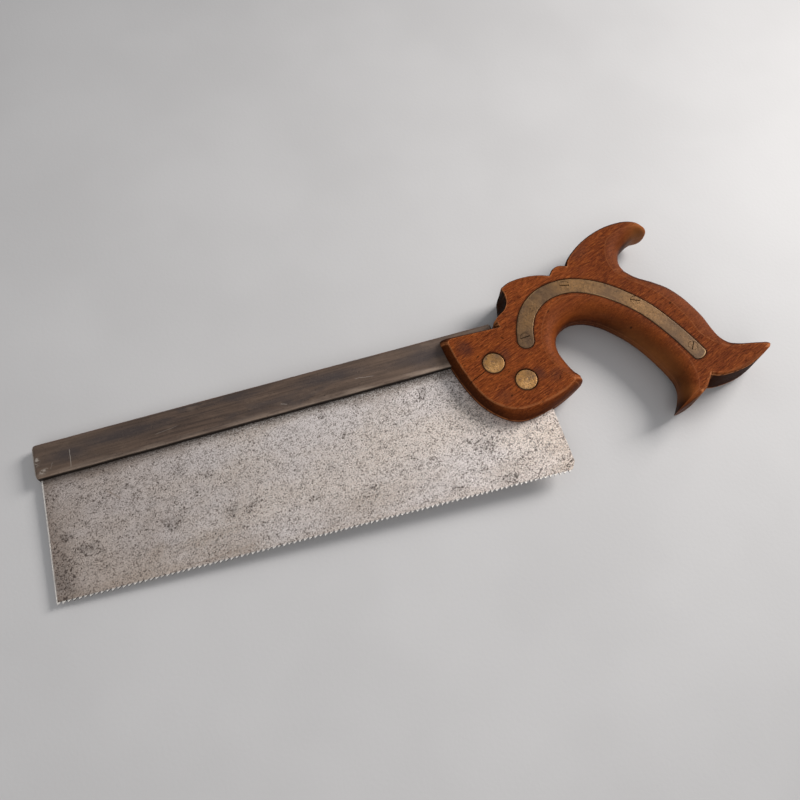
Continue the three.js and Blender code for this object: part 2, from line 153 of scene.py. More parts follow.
# Painted shade, for side walls:
WOOD_SIDE_SHADE = (0.055, 0.012, 0.003)
WOOD_BLACK = (0.010, 0.005, 0.003)
STEEL_COOL = (0.960, 0.870, 0.845)
STEEL_WARM = (0.960, 0.835, 0.755)
STEEL_BROWN = (0.330, 0.240, 0.185)
STEEL_TAN = (0.560, 0.430, 0.330)
STEEL_SPECK = (0.190, 0.152, 0.130)
STEEL_GREY = (0.260, 0.225, 0.210)
STEEL_BRIGHT = (0.950, 0.910, 0.860)
RUST = (0.100, 0.065, 0.047)
# Dark rust, and painted shade on the plate's edges:
RUST_DARK_AND_SHADE = (0.040, 0.026, 0.021)
BACK_DARK = (0.095, 0.066, 0.053)
BACK_BROWN = (0.175, 0.118, 0.088)
BACK_BLUE = (0.075, 0.062, 0.063)
BACK_TAN = (0.260, 0.182, 0.132)
BACK_RUST = (0.190, 0.070, 0.030)
# Rubbed steel, with a painted highlight, for the lip:
BACK_RUBBED_AND_HIGHLIGHT = (0.420, 0.320, 0.250)
BACK_BLACK = (0.020, 0.014, 0.011)
BACK_BRIGHT = (0.700, 0.620, 0.540)
BRASS_GOLD = (0.470, 0.240, 0.080)
BRASS_BRIGHT = (0.720, 0.410, 0.165)
# Tarnish, and painted shade on the bolt heads:
BRASS_TARNISH_AND_SHADE = (0.170, 0.100, 0.055)
BRASS_DARK = (0.070, 0.040, 0.022)
STRAP_OLIVE = (0.158, 0.091, 0.045)
STRAP_DULL = (0.112, 0.065, 0.037)
STRAP_GOLD = (0.310, 0.165, 0.062)
STRAP_LIGHT = (0.430, 0.270, 0.130)
STRAP_DARK = (0.045, 0.028, 0.018)

GRAIN_TURN = 20  # degrees, the wood's grain from the x axis

# Marks in the materials. Spots: strength, x, y, radius, softness, squash, turn in degrees,
# raggedness. Lines: strength, start, end, half width, wobble.
# Painted light: lighter patches on the horn's tip and on the grip's lower side.
PAINTED_LIGHT_SPOTS = [
    (0.62, 343.0, 48.5, 7.5, 1.7, 0.8, 30, 0.8), (0.75, 311.0, -27.0, 19.0, 1.6, 0.5, -62, 0.8),
    (0.4, 322.0, -47.0, 8.0, 1.6, 0.6, -50, 0.8),
]
STAIN_SPOTS = [
    (0.6, 222.5, 5.5, 3.4, 1.5, 1.3, 20, 0.9), (0.45, 241.8, -4.2, 3.0, 1.5, 0.8, 60, 0.8),
    (0.6, 255.2, -19.5, 3.0, 1.4, 1.1, 60, 0.8), (0.35, 233.5, -26.5, 4.2, 1.5, 0.8, 10, 0.9),
    (0.4, 302.5, 44.0, 5.5, 1.6, 0.6, 30, 0.9), (0.4, 262.8, -22.0, 4.0, 1.5, 0.8, 30, 0.9),
]
DENT_SPOTS = [
    (1, 237.0, -27.0, 0.75, 0.8, 0.6, 30), (1, 264.6, -24.4, 0.9, 0.8, 0.45, 45),
    (1, 227.6, -1.2, 0.8, 0.9, 0.5, 30), (1, 243.5, 5.5, 0.9, 0.9, 0.4, -50),
    (1, 292.5, 4.6, 0.45, 0.9), (1, 312.5, -7.2, 0.5, 0.9), (1, 337.5, -0.5, 0.9, 0.9, 0.6, 30),
    (1, 272.4, 13.5, 1.0, 0.9, 0.35, 40),
]
RUST_SPOTS = [
    (1, 17.2, -40.5, 5.5, 1.5, 0.6, -10, 1.2), (1, 7.7, -31.8, 2.4, 1.3, 0.9, 0, 1.2),
    (1, 56, -40.2, 3.6, 1.3, 0.5, -50, 1.4), (1, 60.3, -39, 3.0, 1.3, 0.7, 20, 1.4),
    (1, 87.2, -42, 3.4, 1.3, 0.7, 0, 1.4), (1, 97.2, -42, 4.4, 1.4, 0.4, 30, 1.4),
    (1, 30.7, -4.8, 2.0, 1.3, 0.6, -30, 1.4), (1, 40.4, -15.2, 2.2, 1.3, 0.5, -30, 1.4),
    (1, 66.7, -14.3, 3.4, 1.4, 0.6, 0, 1.4), (1, 79.5, -20.9, 1.6, 1.3, 0.8, 0, 1.4),
    (1, 138.6, -34.4, 2.6, 1.3, 0.7, 30, 1.4), (1, 127.6, -47.3, 3.2, 1.3, 0.4, 20, 1.4),
    (1, 156.2, -50.4, 1.8, 1.3, 0.7, 0, 1.4), (1, 142, -6.6, 2.0, 1.3, 0.7, 0, 1.4),
    (1, 195.7, -8.6, 1.8, 1.3, 1.4, 0, 1.4), (1, 209.3, -40.7, 3.4, 1.3, 0.3, -30, 1.4),
    (1, 217, -45.5, 5.0, 1.5, 0.8, 0, 1.3), (1, 196, -64, 3.0, 1.4, 0.4, 0, 1.3),
    (1, 223, -65.4, 4.0, 1.4, 0.5, 0, 1.3), (1, 3.5, -52, 4.4, 1.5, 2.2, 0, 1.2),
]
TAN_SPOTS = [
    (1, 48.9, -51.1, 5, 1.6, 0.6, 30, 1.0), (1, 84, -60, 16, 1.6, 0.3, 0, 0.9),
    (1, 75, -52, 16, 1.7, 0.16, 3, 1.0), (1, 253, -57, 8, 1.7, 1.6, 0, 1.0),
    (1, 150, -58, 22, 1.7, 0.3, 0, 1.0), (1, 228, -62, 16, 1.6, 0.35, 0, 1.0),
]
PLATE_SCRATCHES = [
    (0.6, (29.5, -13.5), (36.5, -20.5), 0.3, 1.4), (0.35, (61, -62.4), (96, -61.6), 0.45, 1.2),
]
BLOTCH_SPOTS = [
    (1, 44, 12.2, 22, 1.5, 0.13, 0, 0.9), (1, 16, 9.5, 9, 1.6, 0.4, 0, 0.9),
    (1, 205, 10, 20, 1.5, 0.15, 0, 0.9), (1, 150, 12.5, 16, 1.6, 0.16, 0, 0.9),
]
BACK_SCRATCHES = [
    (0.6, (15.9, 1.6), (16.3, 12.2), 0.2, 0.7), (0.35, (6.0, 3.6), (7.4, 7.2), 0.14, 1.2),
    (0.5, (123.0, 5.2), (126.5, 3.9), 0.2, 1.0), (0.35, (163, 8.0), (174, 6.6), 0.22, 1.4),
    (0.3, (58, 7.0), (71, 8.6), 0.14, 1.0),
]
GOLD_SPOTS = [
    (0.75, 293, 25, 12, 1.5, 0.45, -20, 0.8), (0.85, 322.5, 1, 14, 1.5, 0.4, -50, 0.8),
    (0.55, 262, 14, 9, 1.5, 0.45, 45, 0.8), (0.45, 337, -24, 6, 1.5, 0.5, -60, 0.8),
]
# Painted glints on the strap's rim.
GLINT_SPOTS = [
    (1, 267, 24.5, 7, 1.2, 0.4, 35), (1, 343.2, -34.5, 3.5, 1.2, 0.9),
    (1, 305, 14, 7, 1.2, 0.4, -35),
]
# The crack in the cheek, as a line without a strength.
CRACK = ((218.4, -14.4), (231.6, -9.0), 0.26, 0.9)

# The handle's edge, clockwise from the cheek's top front corner. A stretch has the share of
# upright wall and the bulge at its start and end, then points of rim x, rim y, face x, face y.
# It starts where the one before it ends.
HANDLE_EDGE = [
    ((0.3, 0.3), (0.5, 0.5), [
        (212.7, 15.6, 216.1, 12.3), (214.8, 16.2, 217.8, 12.8)]),
    ((0.3, 0.3), (0.5, 0.5), [
        (243.4, 14.4, 244.9, 11.9)]),
    ((0.3, 0.8), (0.5, 0.5), [
        (243.2, 16.8, 244.3, 17.2)]),
    ((0.15, 0.15), (-0.4, -0.4), [
        (245.6, 19.1, 247.1, 19.1), (248.2, 22.4, 250.2, 21), (249.6, 26.8, 252.9, 24.6),
        (250.6, 30.6, 254, 29.4), (253.4, 34.6, 253.5, 33.8)]),
    ((0.88, 0.88), (1, 1), [
        (257.9, 36.7, 258.3, 35.9), (264, 37.6, 264, 36.8), (271, 37.4, 271, 36.6),
        (276.3, 36.4, 276.1, 35.6), (281.4, 34.6, 281.4, 33.5)]),
    ((0.88, 0.88), (1, 1), [
        (284.4, 37.8, 284.9, 37), (287.8, 39, 287.9, 38.2), (292.8, 37.8, 292.9, 36.6)]),
    ((0.88, 0.12), (1, 1), [
        (293.9, 40.6, 294.8, 40), (296.7, 43.6, 297.5, 42.9), (304, 49, 304.7, 48.1),
        (312.5, 53.4, 313.2, 52), (322, 56.4, 322.3, 54.4), (332, 57.5, 331.7, 54.6),
        (337.6, 56.6, 336.5, 53.9), (341.9, 54.4, 339.3, 53), (344.9, 51.4, 340.2, 52.2),
        (347, 48.5, 340.4, 51.5)]),
    ((0.12, 0.12), (1, 1), [
        (345.5, 47.5, 339.4, 51.3), (339.6, 47.2, 334.8, 51.6), (332.9, 44.4, 327.6, 50.6),
        (326.8, 39.9, 320, 46.4), (324.2, 34.9, 316.3, 39.2), (323.8, 31, 315.4, 32.4),
        (324.8, 27, 316.6, 26.2)]),
    ((0.12, 0.7), (1, 1), [
        (328.9, 21.8, 321.8, 20), (336.3, 16.6, 330.6, 11.6), (342.3, 11.4, 335.4, 5),
        (347.6, 3.4, 339.1, -1.2), (351, -4.8, 341.8, -7.8), (353.2, -12.2, 343.8, -14.2),
        (354.4, -20, 345, -20.8), (355.9, -26, 350.2, -28.2), (358.8, -30.2, 355.8, -33),
        (364, -32.9, 363.4, -34.4)]),
    ((0.7, 0.8), (1, 1), [
        (371, -34.6, 370.6, -35.8), (377.4, -36.2, 375.8, -37.3)]),
    ((0.8, 0.8), (1, 1), [
        (379, -37.6, 376.6, -37.9), (377.9, -39.2, 375.8, -38.5)]),
    ((0.88, 0.88), (1, 1), [
        (369.6, -43.4, 368.9, -42.4), (361.4, -46.2, 361.2, -45), (351.2, -47.3, 351.2, -46.2),
        (344.8, -46.8, 345.2, -45.6), (340.8, -45, 340.8, -44)]),
    ((0.88, 0.85), (1, 1), [
        (338.5, -47.8, 337.6, -47.2), (335.3, -51.4, 334.4, -50.6),
        (331.5, -53.6, 331.6, -52.3)]),
    ((0.85, 0.1), (1, 1), [
        (325.5, -55.9, 331.3, -51.9), (320.5, -57.3, 331, -51.5), (317.4, -57.9, 330.7, -51)]),
    ((0.1, 0.12), (1, 1), [
        (321.2, -52.9, 332, -48.5), (324.4, -46.8, 333.2, -44.5), (325.1, -40.8, 333.4, -39.5),
        (323.2, -33.8, 333, -33.5), (319.1, -23.7, 330.4, -25), (313.5, -13.5, 325.8, -14),
        (306.9, -5, 318.6, -2.2), (299.1, 2.4, 308.5, 8.7), (291.6, 6.2, 295.8, 16.9),
        (283.8, 6.8, 283.5, 19.3), (277, 3.9, 273.5, 15.2), (272.6, -1.4, 264.6, 2.6),
        (271.3, -8, 262.7, -7), (272.5, -14.4, 264, -14.2), (274.9, -21.4, 267.2, -20.8),
        (277.4, -25.4, 270.9, -25.8)]),
    ((0.12, 0.3), (0.8, 0.5), [
        (277.7, -27.3, 271.5, -27.1), (274.6, -29.5, 270.3, -28.5), (264.2, -34.3, 262.9, -31.7),
        (255.9, -37.1, 255.2, -33.8), (247.3, -38.9, 247.2, -34.7), (240.4, -39.2, 240.9, -34.8),
        (233.8, -37, 236, -33.6), (227.3, -31.6, 230.2, -30.2), (222, -24.6, 225.4, -25.2),
        (218.2, -16.1, 221.6, -17.8), (215.3, -6.6, 219.2, -9.6), (213.2, 3.4, 217, -0.3),
        (212.1, 13.8, 215.4, 11)]),
]
# Along the edge: how far apart the sections are, and closer near each arris.
EDGE_SPACING = 0.55
ARRIS_SPACING = 0.11
ARRIS_SPAN = 0.9
ARRIS_WEAR = 0.22
EDGE_STATIONS = (0, 0.06, 0.13, 0.21, 0.3, 0.4, 0.5, 0.6, 0.7, 0.79, 0.87, 0.93, 0.97, 1)
FACE_INSETS = (0.12, 0.26, 0.5)
HOLLOW_SHADE = 0.8
# Round the strap and the bolts the wood is eased at the mouth and worn a little lower.
MOUTH_EASE = 0.1
MOUTH_DIP = 0.03
MOUTH_SPAN = 1.4

# Turned pieces: how many sides a disc, a screw and a shank have.
DISC_SIDES = 96
SCREW_SIDES = 64
SHANK_SIDES = 48
THREAD_PITCH = 0.4
THREAD_DEPTH = 0.12
# The worn edge and the crown of the bolt heads and the nuts, and the faint ring in their face.
HEAD_ROUNDING, HEAD_CROWN = 0.38, 0.07
NUT_ROUNDING, NUT_CROWN = 0.35, 0.08
FACE_RING = (0.9, 1.5)
FACE_RING_DEPTH = 0.035
# The strap's worn edge: how far below its top, and how far in.
STRAP_EDGE = ((0.22, 0), (0.13, 0.03), (0.06, 0.09), (0.015, 0.19), (0, 0.32))

# The floor slopes so that the saw rests on its spine, horn and tail: its height in the drawing
# frame at (0, 0), and how it rises along x and y. The rest of the stage is in metres.
FLOOR_HALF = 3
FLOOR_HEIGHT = 6.21
FLOOR_RISE_X, FLOOR_RISE_Y = -0.02841, -0.00769
FLOOR_DARK, FLOOR_PALE = (0.61, 0.60, 0.60), (0.65, 0.64, 0.64)
# A light's place, target, size, spread in degrees, power and colour.
LIGHTS = {
    "key": ((0.95, 0.3, 0.58), (0.05, 0, 0), 0.5, 80, 2.7, (1, 0.975, 0.95)),
    "fill": ((-0.3, -0.7, 0.9), (0, 0, 0), 0.7, 180, 2.2, (1, 0.99, 0.98)),
}
WORLD_COLOR, WORLD_STRENGTH = (0.95, 0.97, 1, 1), 0.31
CAMERA_LENS = 36
CAMERA_SENSOR = 36
CAMERA_PLACE = (-0.05768, -0.15805, 0.39198)
CAMERA_TURN = (23.264, -0.651, -17.015)  # degrees


# ---------------------------------------------------------------- mesh helpers

def at(point):
    return ORIGIN + Vector(point) * MM


def inside_box(point):
    """A point in metres, kept within the CAD's own box."""
    return [min(max(c, low), high) for c, low, high in zip(point, cad_low, cad_high)]


def new_piece(name, verts, faces):
    mesh = bpy.data.meshes.new(name)
    mesh.from_pydata([at(v) for v in verts], [], faces)
    mesh.validate()
    bm = bmesh.new()
    bm.from_mesh(mesh)
    bmesh.ops.remove_doubles(bm, verts=bm.verts, dist=1e-7)
    bmesh.ops.recalc_face_normals(bm, faces=bm.faces)
    bm.to_mesh(mesh)
    bm.free()
    piece = bpy.data.objects.new(name, mesh)
    bpy.context.scene.collection.objects.link(piece)
    return piece


def spline(points, t):
    """Centripetal Catmull-Rom through 2-D points, at t from 0 to 1."""
    p = [np.array(q, float) for q in points]
    place = (len(p) - 1) * t
    i = min(int(place), len(p) - 2)
    w = place - i
    p1, p2 = p[i], p[i + 1]
    p0 = p[i - 1] if i > 0 else 2 * p1 - p2
    p3 = p[i + 2] if i + 2 < len(p) else 2 * p2 - p1
    d0, d1, d2 = (float(((b - a) ** 2).sum()) ** 0.25 for a, b in ((p0, p1), (p1, p2), (p2, p3)))
    d1 = d1 if d1 > 1e-4 else 1.0
    d0 = d0 if d0 > 1e-4 else d1
    d2 = d2 if d2 > 1e-4 else d1
    t1 = ((p1 - p0) / d0 - (p2 - p0) / (d0 + d1) + (p2 - p1) / d1) * d1
    t2 = ((p2 - p1) / d1 - (p3 - p1) / (d1 + d2) + (p3 - p2) / d2) * d1
    c2 = -3 * p1 + 3 * p2 - 2 * t1 - t2
    c3 = 2 * p1 - 2 * p2 + t1 + t2
    return p1 + t1 * w + c2 * w * w + c3 * w ** 3


def skinned(rings):
    """Vertices and faces of a closed body over rings of equal length, capped at both ends."""
    count = len(rings[0])
    verts = [point for ring in rings for point in ring]
    faces = []
    for level in range(len(rings) - 1):
        for i in range(count):
            a, b = level * count + i, level * count + (i + 1) % count
            faces.append((a, b, b + count, a + count))
    faces.append(tuple(reversed(range(count))))
    faces.append(tuple(range(len(verts) - count, len(verts))))
    return verts, faces


def ring_at(x, y, z, radius, sides):
    angles = [2 * math.pi * i / sides for i in range(sides)]
    return [(x + radius * math.cos(a), y + radius * math.sin(a), z) for a in angles]


def turned(x, y, profile, sides):
    """A body turned about an upright axis at (x, y), from pairs of (radius, z), lowest first."""
    return skinned([ring_at(x, y, z, radius, sides) for radius, z in profile])


def prism(outline, low, high):
    """An outline of (x, y) carried from z = low to z = high."""
    return stack([(low, outline), (high, outline)])


def stack(layers):
    """A body over outlines of equal length, each at its own z."""
    return skinned([[(x, y, z) for x, y in outline] for z, outline in layers])


def box_shape(x, y, width, height, low, high, angle=0.0):
    c, s = math.cos(angle), math.sin(angle)
    corners = [(-1, -1), (1, -1), (1, 1), (-1, 1)]
    outline = []
    for u, v in corners:
        dx, dy = u * width / 2, v * height / 2
        outline.append((x + c * dx - s * dy, y + s * dx + c * dy))
    return prism(outline, low, high)


def carve(piece, shapes, operation="DIFFERENCE"):
    """Cuts closed shapes out of a piece, or joins them on, and leaves no modifier."""
    for verts, faces in shapes:
        tool = new_piece("tool", verts, faces)
        cut = piece.modifiers.new("cut", "BOOLEAN")
        cut.operation = operation
        cut.solver = "MANIFOLD"
        cut.object = tool
        depsgraph = bpy.context.evaluated_depsgraph_get()
        result = bpy.data.meshes.new_from_object(piece.evaluated_get(depsgraph))
        piece.modifiers.remove(cut)
        old = piece.data
        piece.data = result
        bpy.data.meshes.remove(old)
        tool_mesh = tool.data
        bpy.data.objects.remove(tool)
        bpy.data.meshes.remove(tool_mesh)
    piece.data.name = piece.name


def finish_piece(piece, node, material, crease):
    """Smooths a piece, apart from edges over `crease` degrees, and has it stand for its node."""
    piece.data.shade_smooth()
    piece.data.set_sharp_from_angle(angle=math.radians(crease))
    for vertex in piece.data.vertices:
        vertex.co = inside_box(vertex.co)
    piece.data.materials.clear()
    piece.data.materials.append(material)
    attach(piece, "root")
    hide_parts(node)


# ---------------------------------------------------------------- handle

def stretch_parameters(rows):
    """Parameters from 0 to just under 1, close together at both ends of a stretch."""
    samples = [spline([r[:2] for r in rows], k / 200) for k in range(201)]
    steps = [float(np.linalg.norm(b - a)) for a, b in zip(samples, samples[1:])]
    run = np.concatenate([[0], np.cumsum(steps)])
    length = run[-1]
    span = min(ARRIS_SPAN, length / 3)
    near = np.arange(0, span, ARRIS_SPACING)
    middle = np.linspace(span, length - span, max(3, round((length - 2 * span) / EDGE_SPACING)))
    distances = np.concatenate([near, middle, length - near[1:][::-1]])
    return np.interp(distances, run, np.linspace(0, 1, 201))


def handle_sections():
    sections = []
    corner = HANDLE_EDGE[-1][2][-1]
    for wall, bulge, points in HANDLE_EDGE:
        rows = [corner] + points
        corner = points[-1]
        for t in stretch_parameters(rows):
            rim = spline([r[:2] for r in rows], t)
            face = spline([r[2:] for r in rows], t)
            upright = wall[0] + (wall[1] - wall[0]) * t
            curve = bulge[0] + (bulge[1] - bulge[0]) * t
            sections.append((rim, face, upright, curve))
    return sections


def section_profile(rim, face, wall, bulge):
    """Upper half of one section from half thickness up to the flat face and a little inwards."""
    points = [(rim[0], rim[1], share * wall * MIDDLE) for share in (0, 0.5, 0.85)]
    for step in EDGE_STATIONS:
        angle = step * math.pi / 2
        across = step + bulge * (1 - math.cos(angle) - step)
        up = wall + (1 - wall) * (step + bulge * (math.sin(angle) - step))
        x, y = rim + (face - rim) * across
        points.append((x, y, up * MIDDLE))
    inward = (face - rim) / np.linalg.norm(face - rim)
    for inset in FACE_INSETS:
        x, y = face + inward * inset
        points.append((x, y, MIDDLE))
    return np.array(points)


def wear_along(points, closed, spread, keep=0):
    """Rounds corners in a row of points by a short weighted average along its length."""
    after = points[:1] if closed else points[-1:]
    gaps = np.linalg.norm(np.diff(points, axis=0, append=after), axis=1)
    place = np.concatenate([[0], np.cumsum(gaps)[:-1]])
    total = gaps.sum()
    apart = np.abs(place[:, None] - place[None, :])
    if closed:
        apart = np.minimum(apart, total - apart)
    back = np.roll(gaps, 1)
    if not closed:
        back[0] = gaps[0]
        gaps[-1] = back[-1]
    weight = np.exp(-0.5 * (apart / spread) ** 2) * (apart < 3 * spread)
    weight *= ((gaps + back) / 2)[None, :]
    weight /= weight.sum(axis=1, keepdims=True)
    worn = weight @ points
    if keep:
        worn[:keep] = points[:keep]
        worn[-keep:] = points[-keep:]
    return worn


def handle_blank():
    """The wood before anything is cut out of it, and for each point how worn and handled it is,
    with a painted highlight at the arrises and painted shade in the hollow at the nose.
    """
    sections = handle_sections()
    grid = np.array([section_profile(*section) for section in sections])
    lower = grid[:, :0:-1].copy()
    lower[:, :, 2] *= -1
    sharp = np.concatenate([lower, grid], axis=1)
    grid = np.array([wear_along(row, False, ARRIS_WEAR / 1.5, keep=1) for row in sharp])
    columns = [wear_along(grid[:, j], True, ARRIS_WEAR) for j in range(grid.shape[1])]
    grid = np.stack(columns, axis=1)
    moved = np.linalg.norm(grid - sharp, axis=2)
    arris = np.clip((moved - 0.006) / 0.014, 0, 1)
    walls = np.array([section[2] for section in sections])
    bulges = np.array([section[3] for section in sections])
    drop = 1 - np.abs(grid[:, :, 2]) / MIDDLE
    rounded = np.clip((bulges - 0.6) / 0.3, 0, 1) * np.clip((0.85 - walls) / 0.4, 0, 1)
    arris *= 1 - 0.8 * rounded[:, None]
    arris[:, 0] = arris[:, -1] = 0
    polish = np.clip(0.35 + 1.6 * drop, 0, 1) * rounded[:, None]
    polish[:, 0] = polish[:, -1] = 0
    hollow = np.clip(-bulges / 0.3, 0, 1)[:, None] * np.clip(drop / 0.12, 0, 1) * HOLLOW_SHADE
    grid[:, :, 2] += MIDDLE
    grid[:, :, 2] = np.clip(grid[:, :, 2], 0, HANDLE_THICKNESS)
    count, levels = grid.shape[:2]
    verts = [tuple(p) for p in grid.reshape(-1, 3)]
    faces = []
    for i in range(count):
        k = (i + 1) % count
        for j in range(levels - 1):
            faces.append((i * levels + j, i * levels + j + 1, k * levels + j + 1, k * levels + j))
    faces.append(tuple(i * levels for i in range(count)))
    faces.append(tuple(i * levels + levels - 1 for i in reversed(range(count))))
    values = np.stack([arris.ravel(), polish.ravel(), hollow.ravel()], axis=1)
    return new_piece("handle_wood", verts, faces), verts, values


def flared(outline_at, low, grow):
    """A recess whose mouth is eased, in wood worn a little lower all round it."""
    top = HANDLE_THICKNESS
    return stack([
        (low, outline_at(grow)),
        (top - MOUTH_DIP - MOUTH_EASE, outline_at(grow)),
        (top - MOUTH_DIP, outline_at(grow + MOUTH_EASE)),
        (top + 0.002, outline_at(grow + MOUTH_SPAN)),
        (top + CUT_PAST, outline_at(grow + MOUTH_SPAN)),
    ])


def paint(piece, name, values):
    layer = piece.data.attributes.new(name, "FLOAT", "POINT")
    layer.data.foreach_set("value", np.asarray(values, dtype=np.float32))


def tree_of(points):
    tree = KDTree(len(points))
    for i, point in enumerate(points):
        tree.insert(at(point), i)
    tree.balance()
    return tree


def nearness(tree, place, span):
    """1 at the tree's nearest point, falling to 0 at `span` millimetres from it."""
    return 1 - min(1.0, tree.find(place)[2] / (span * MM))


def paint_handle(piece, points, values):
    """Carries the blank's values to the cut piece, and adds darkening round what is let into it."""
    blank = tree_of(points)
    top = HANDLE_THICKNESS
    mouths = [(x, y, top) for x, y in strap_outline(PLATE_FIT, 400, 40)]
    for x, y in BOLTS:
        for z in (0, top):
            mouths += ring_at(x, y, z, DISC_RADIUS + FIT, 120)
    mouth = tree_of(mouths)
    carried = np.zeros((len(piece.data.vertices), 3))
    mouth_dark = np.zeros(len(piece.data.vertices))
    for i, vertex in enumerate(piece.data.vertices):
        _, index, distance = blank.find(vertex.co)
        if distance < 0.02 * MM:
            carried[i] = values[index]
        mouth_dark[i] = nearness(mouth, vertex.co, MOUTH_SPAN)
    for name, column in zip(("arris", "polish", "shade"), carried.T):
        paint(piece, name, column)
    paint(piece, "mouth_dark", mouth_dark)


def bolt_passage(x, y):
    neck = NECK_WIDTH + 2 * FIT
    head_seat = HANDLE_THICKNESS - DISC_SINK - DISC_THICKNESS - FIT
    nut_seat = DISC_SINK + DISC_THICKNESS + FIT
    wide = DISC_RADIUS + FIT
    eased, dish = wide + MOUTH_EASE, wide + MOUTH_SPAN
    shank, boss = SHANK_RADIUS + FIT, NUT_BOSS_RADIUS + FIT
    top = HANDLE_THICKNESS
    return [
        turned(x, y, [(shank, -CUT_PAST), (shank, top + CUT_PAST)], SHANK_SIDES),
        turned(x, y, [
            (wide, head_seat), (wide, top - MOUTH_DIP - MOUTH_EASE), (eased, top - MOUTH_DIP),
            (dish, top + 0.002), (dish, top + CUT_PAST),
        ], DISC_SIDES),
        turned(x, y, [
            (dish, -CUT_PAST), (dish, -0.002), (eased, MOUTH_DIP), (wide, MOUTH_DIP + MOUTH_EASE),
            (wide, nut_seat),
        ], DISC_SIDES),
        turned(x, y, [(boss, -CUT_PAST), (boss, NUT_BOSS_END_Z + FIT)], SHANK_SIDES),
        box_shape(x, y, neck, neck, NECK_END_Z - FIT, top - 0.5),
    ]


def make_handle(material):
    half_slot = PLATE_THICKNESS / 2 + PLATE_FIT
    half_mortise = BACK_THICKNESS / 2 + FIT
    front, low = 200.0, -60.0  # both clear of the wood
    slot = [
        (front, FOLD_DEPTH), (BACK_LENGTH + FIT, FOLD_DEPTH), (HEEL_X + FIT, HEEL_TOP_Y + FIT),
        (HEEL_X + FIT, low), (front, low),
    ]
    mortise = [
        (front, -FIT), (BACK_LENGTH + FIT, -FIT), (BACK_LENGTH + FIT, BACK_HEIGHT + FIT),
        (front, BACK_HEIGHT + FIT),
    ]
    seat = HANDLE_THICKNESS - STRAP_THICKNESS - PLATE_FIT
    tools = [
        prism(slot[::-1], MIDDLE - half_slot, MIDDLE + half_slot),
        prism(mortise, MIDDLE - half_mortise, MIDDLE + half_mortise),
        flared(strap_outline, seat, PLATE_FIT),
    ]
    for bolt in BOLTS:
        tools += bolt_passage(*bolt)
    for x, y, _ in STRAP_SCREWS:
        hole = SCREW_SHANK_RADIUS + FIT
        tools.append(turned(x, y, [
            (hole, HANDLE_THICKNESS - SCREW_LENGTH - FIT), (hole, HANDLE_THICKNESS - 0.5)], 24))
    piece, points, values = handle_blank()
    carve(piece, tools)
    paint_handle(piece, points, values)
    finish_piece(piece, "handle", material, 34)


# ---------------------------------------------------------------- saw plate

def tooth_line(x):
    return -(TOE_DEPTH + TOOTH_LINE_SLOPE * x)


def make_plate(material):
    """The plate with each tooth filed to a slant and bent a little to its side of the plate."""
    toe = -TOE_SLANT * TOE_DEPTH
    rake = TOOTH_DEPTH * math.tan(TOOTH_RAKE)
    half = PLATE_THICKNESS / 2
    roots = []
    for i in range(TOOTH_COUNT + 1):
        x = toe + i * TOOTH_PITCH
        roots.append((x, tooth_line(x) + TOOTH_DEPTH))
    heel = [
        (HEEL_X, tooth_line(roots[-1][0]) + HEEL_CORNER), (HEEL_X, HEEL_TOP_Y),
        (PLATE_TOP_END, PLATE_IN_BACK), (0, PLATE_IN_BACK),
    ]
    verts, faces = [], []
    for side in (1, -1):
        skew = side * TOOTH_FLEAM / 2
        ring = []
        for i, (x, y) in enumerate(roots):
            lean = 0 if i in (0, TOOTH_COUNT) else skew * (1 if i % 2 else -1)
            ring.append((x + lean, y))
        start = len(verts)
        verts += [(x, y, MIDDLE + side * half) for x, y in ring + heel]
        body = list(range(start, len(verts)))
        faces.append(tuple(body if side > 0 else body[::-1]))
        tips = len(verts)
        for i in range(TOOTH_COUNT):
            x = roots[i][0] + rake
            bend = TOOTH_SET * (1 if i % 2 else -1)
            verts.append((x, tooth_line(x), MIDDLE + side * half * 0.9 + bend))
            face = (start + i, tips + i, start + i + 1)
            faces.append(face if side > 0 else face[::-1])
    per_side = len(verts) // 2
    edge = TOOTH_COUNT + 1 + len(heel)
    for i in range(TOOTH_COUNT):
        a, tip, b = i, edge + i, i + 1
        for p, q in ((a, tip), (tip, b)):
            faces.append((p, p + per_side, q + per_side, q))
    for i in range(TOOTH_COUNT, edge):
        k = (i + 1) % edge
        faces.append((i, i + per_side, k + per_side, k))
    piece = new_piece("plate_steel", verts, faces)
    hole = [(SHANK_RADIUS + FIT, 5), (SHANK_RADIUS + FIT, 14)]
    carve(piece, [turned(x, y, hole, SHANK_SIDES) for x, y in BOLTS])
    finish_piece(piece, "saw_plate", material, 20)


# ---------------------------------------------------------------- back

def back_section(side, lip, top):
    half = BACK_THICKNESS / 2 - side
    slot = FOLD_WIDTH / 2
    lip_radius = min(BACK_LIP_RADIUS, half - slot - 0.1)
    top_radius = min(BACK_TOP_RADIUS, half - 0.3)

    def arc(y, z, radius, start, end):
        angles = [start + (end - start) * i / 10 for i in range(11)]
        return [(y + radius * math.cos(a), z + radius * math.sin(a)) for a in angles]

    flat_low = lip + lip_radius
    flat_high = BACK_HEIGHT - top - top_radius
    upper = [(FOLD_DEPTH, slot), (lip, slot)]
    upper += arc(flat_low, half - lip_radius, lip_radius, -math.pi, -math.pi * 1.5)
    upper += [(flat_low + (flat_high - flat_low) * i / 8, half) for i in range(1, 8)]
    upper += arc(flat_high, half - top_radius, top_radius, math.pi / 2, 0)
    return upper + [(y, -z) for y, z in reversed(upper)]


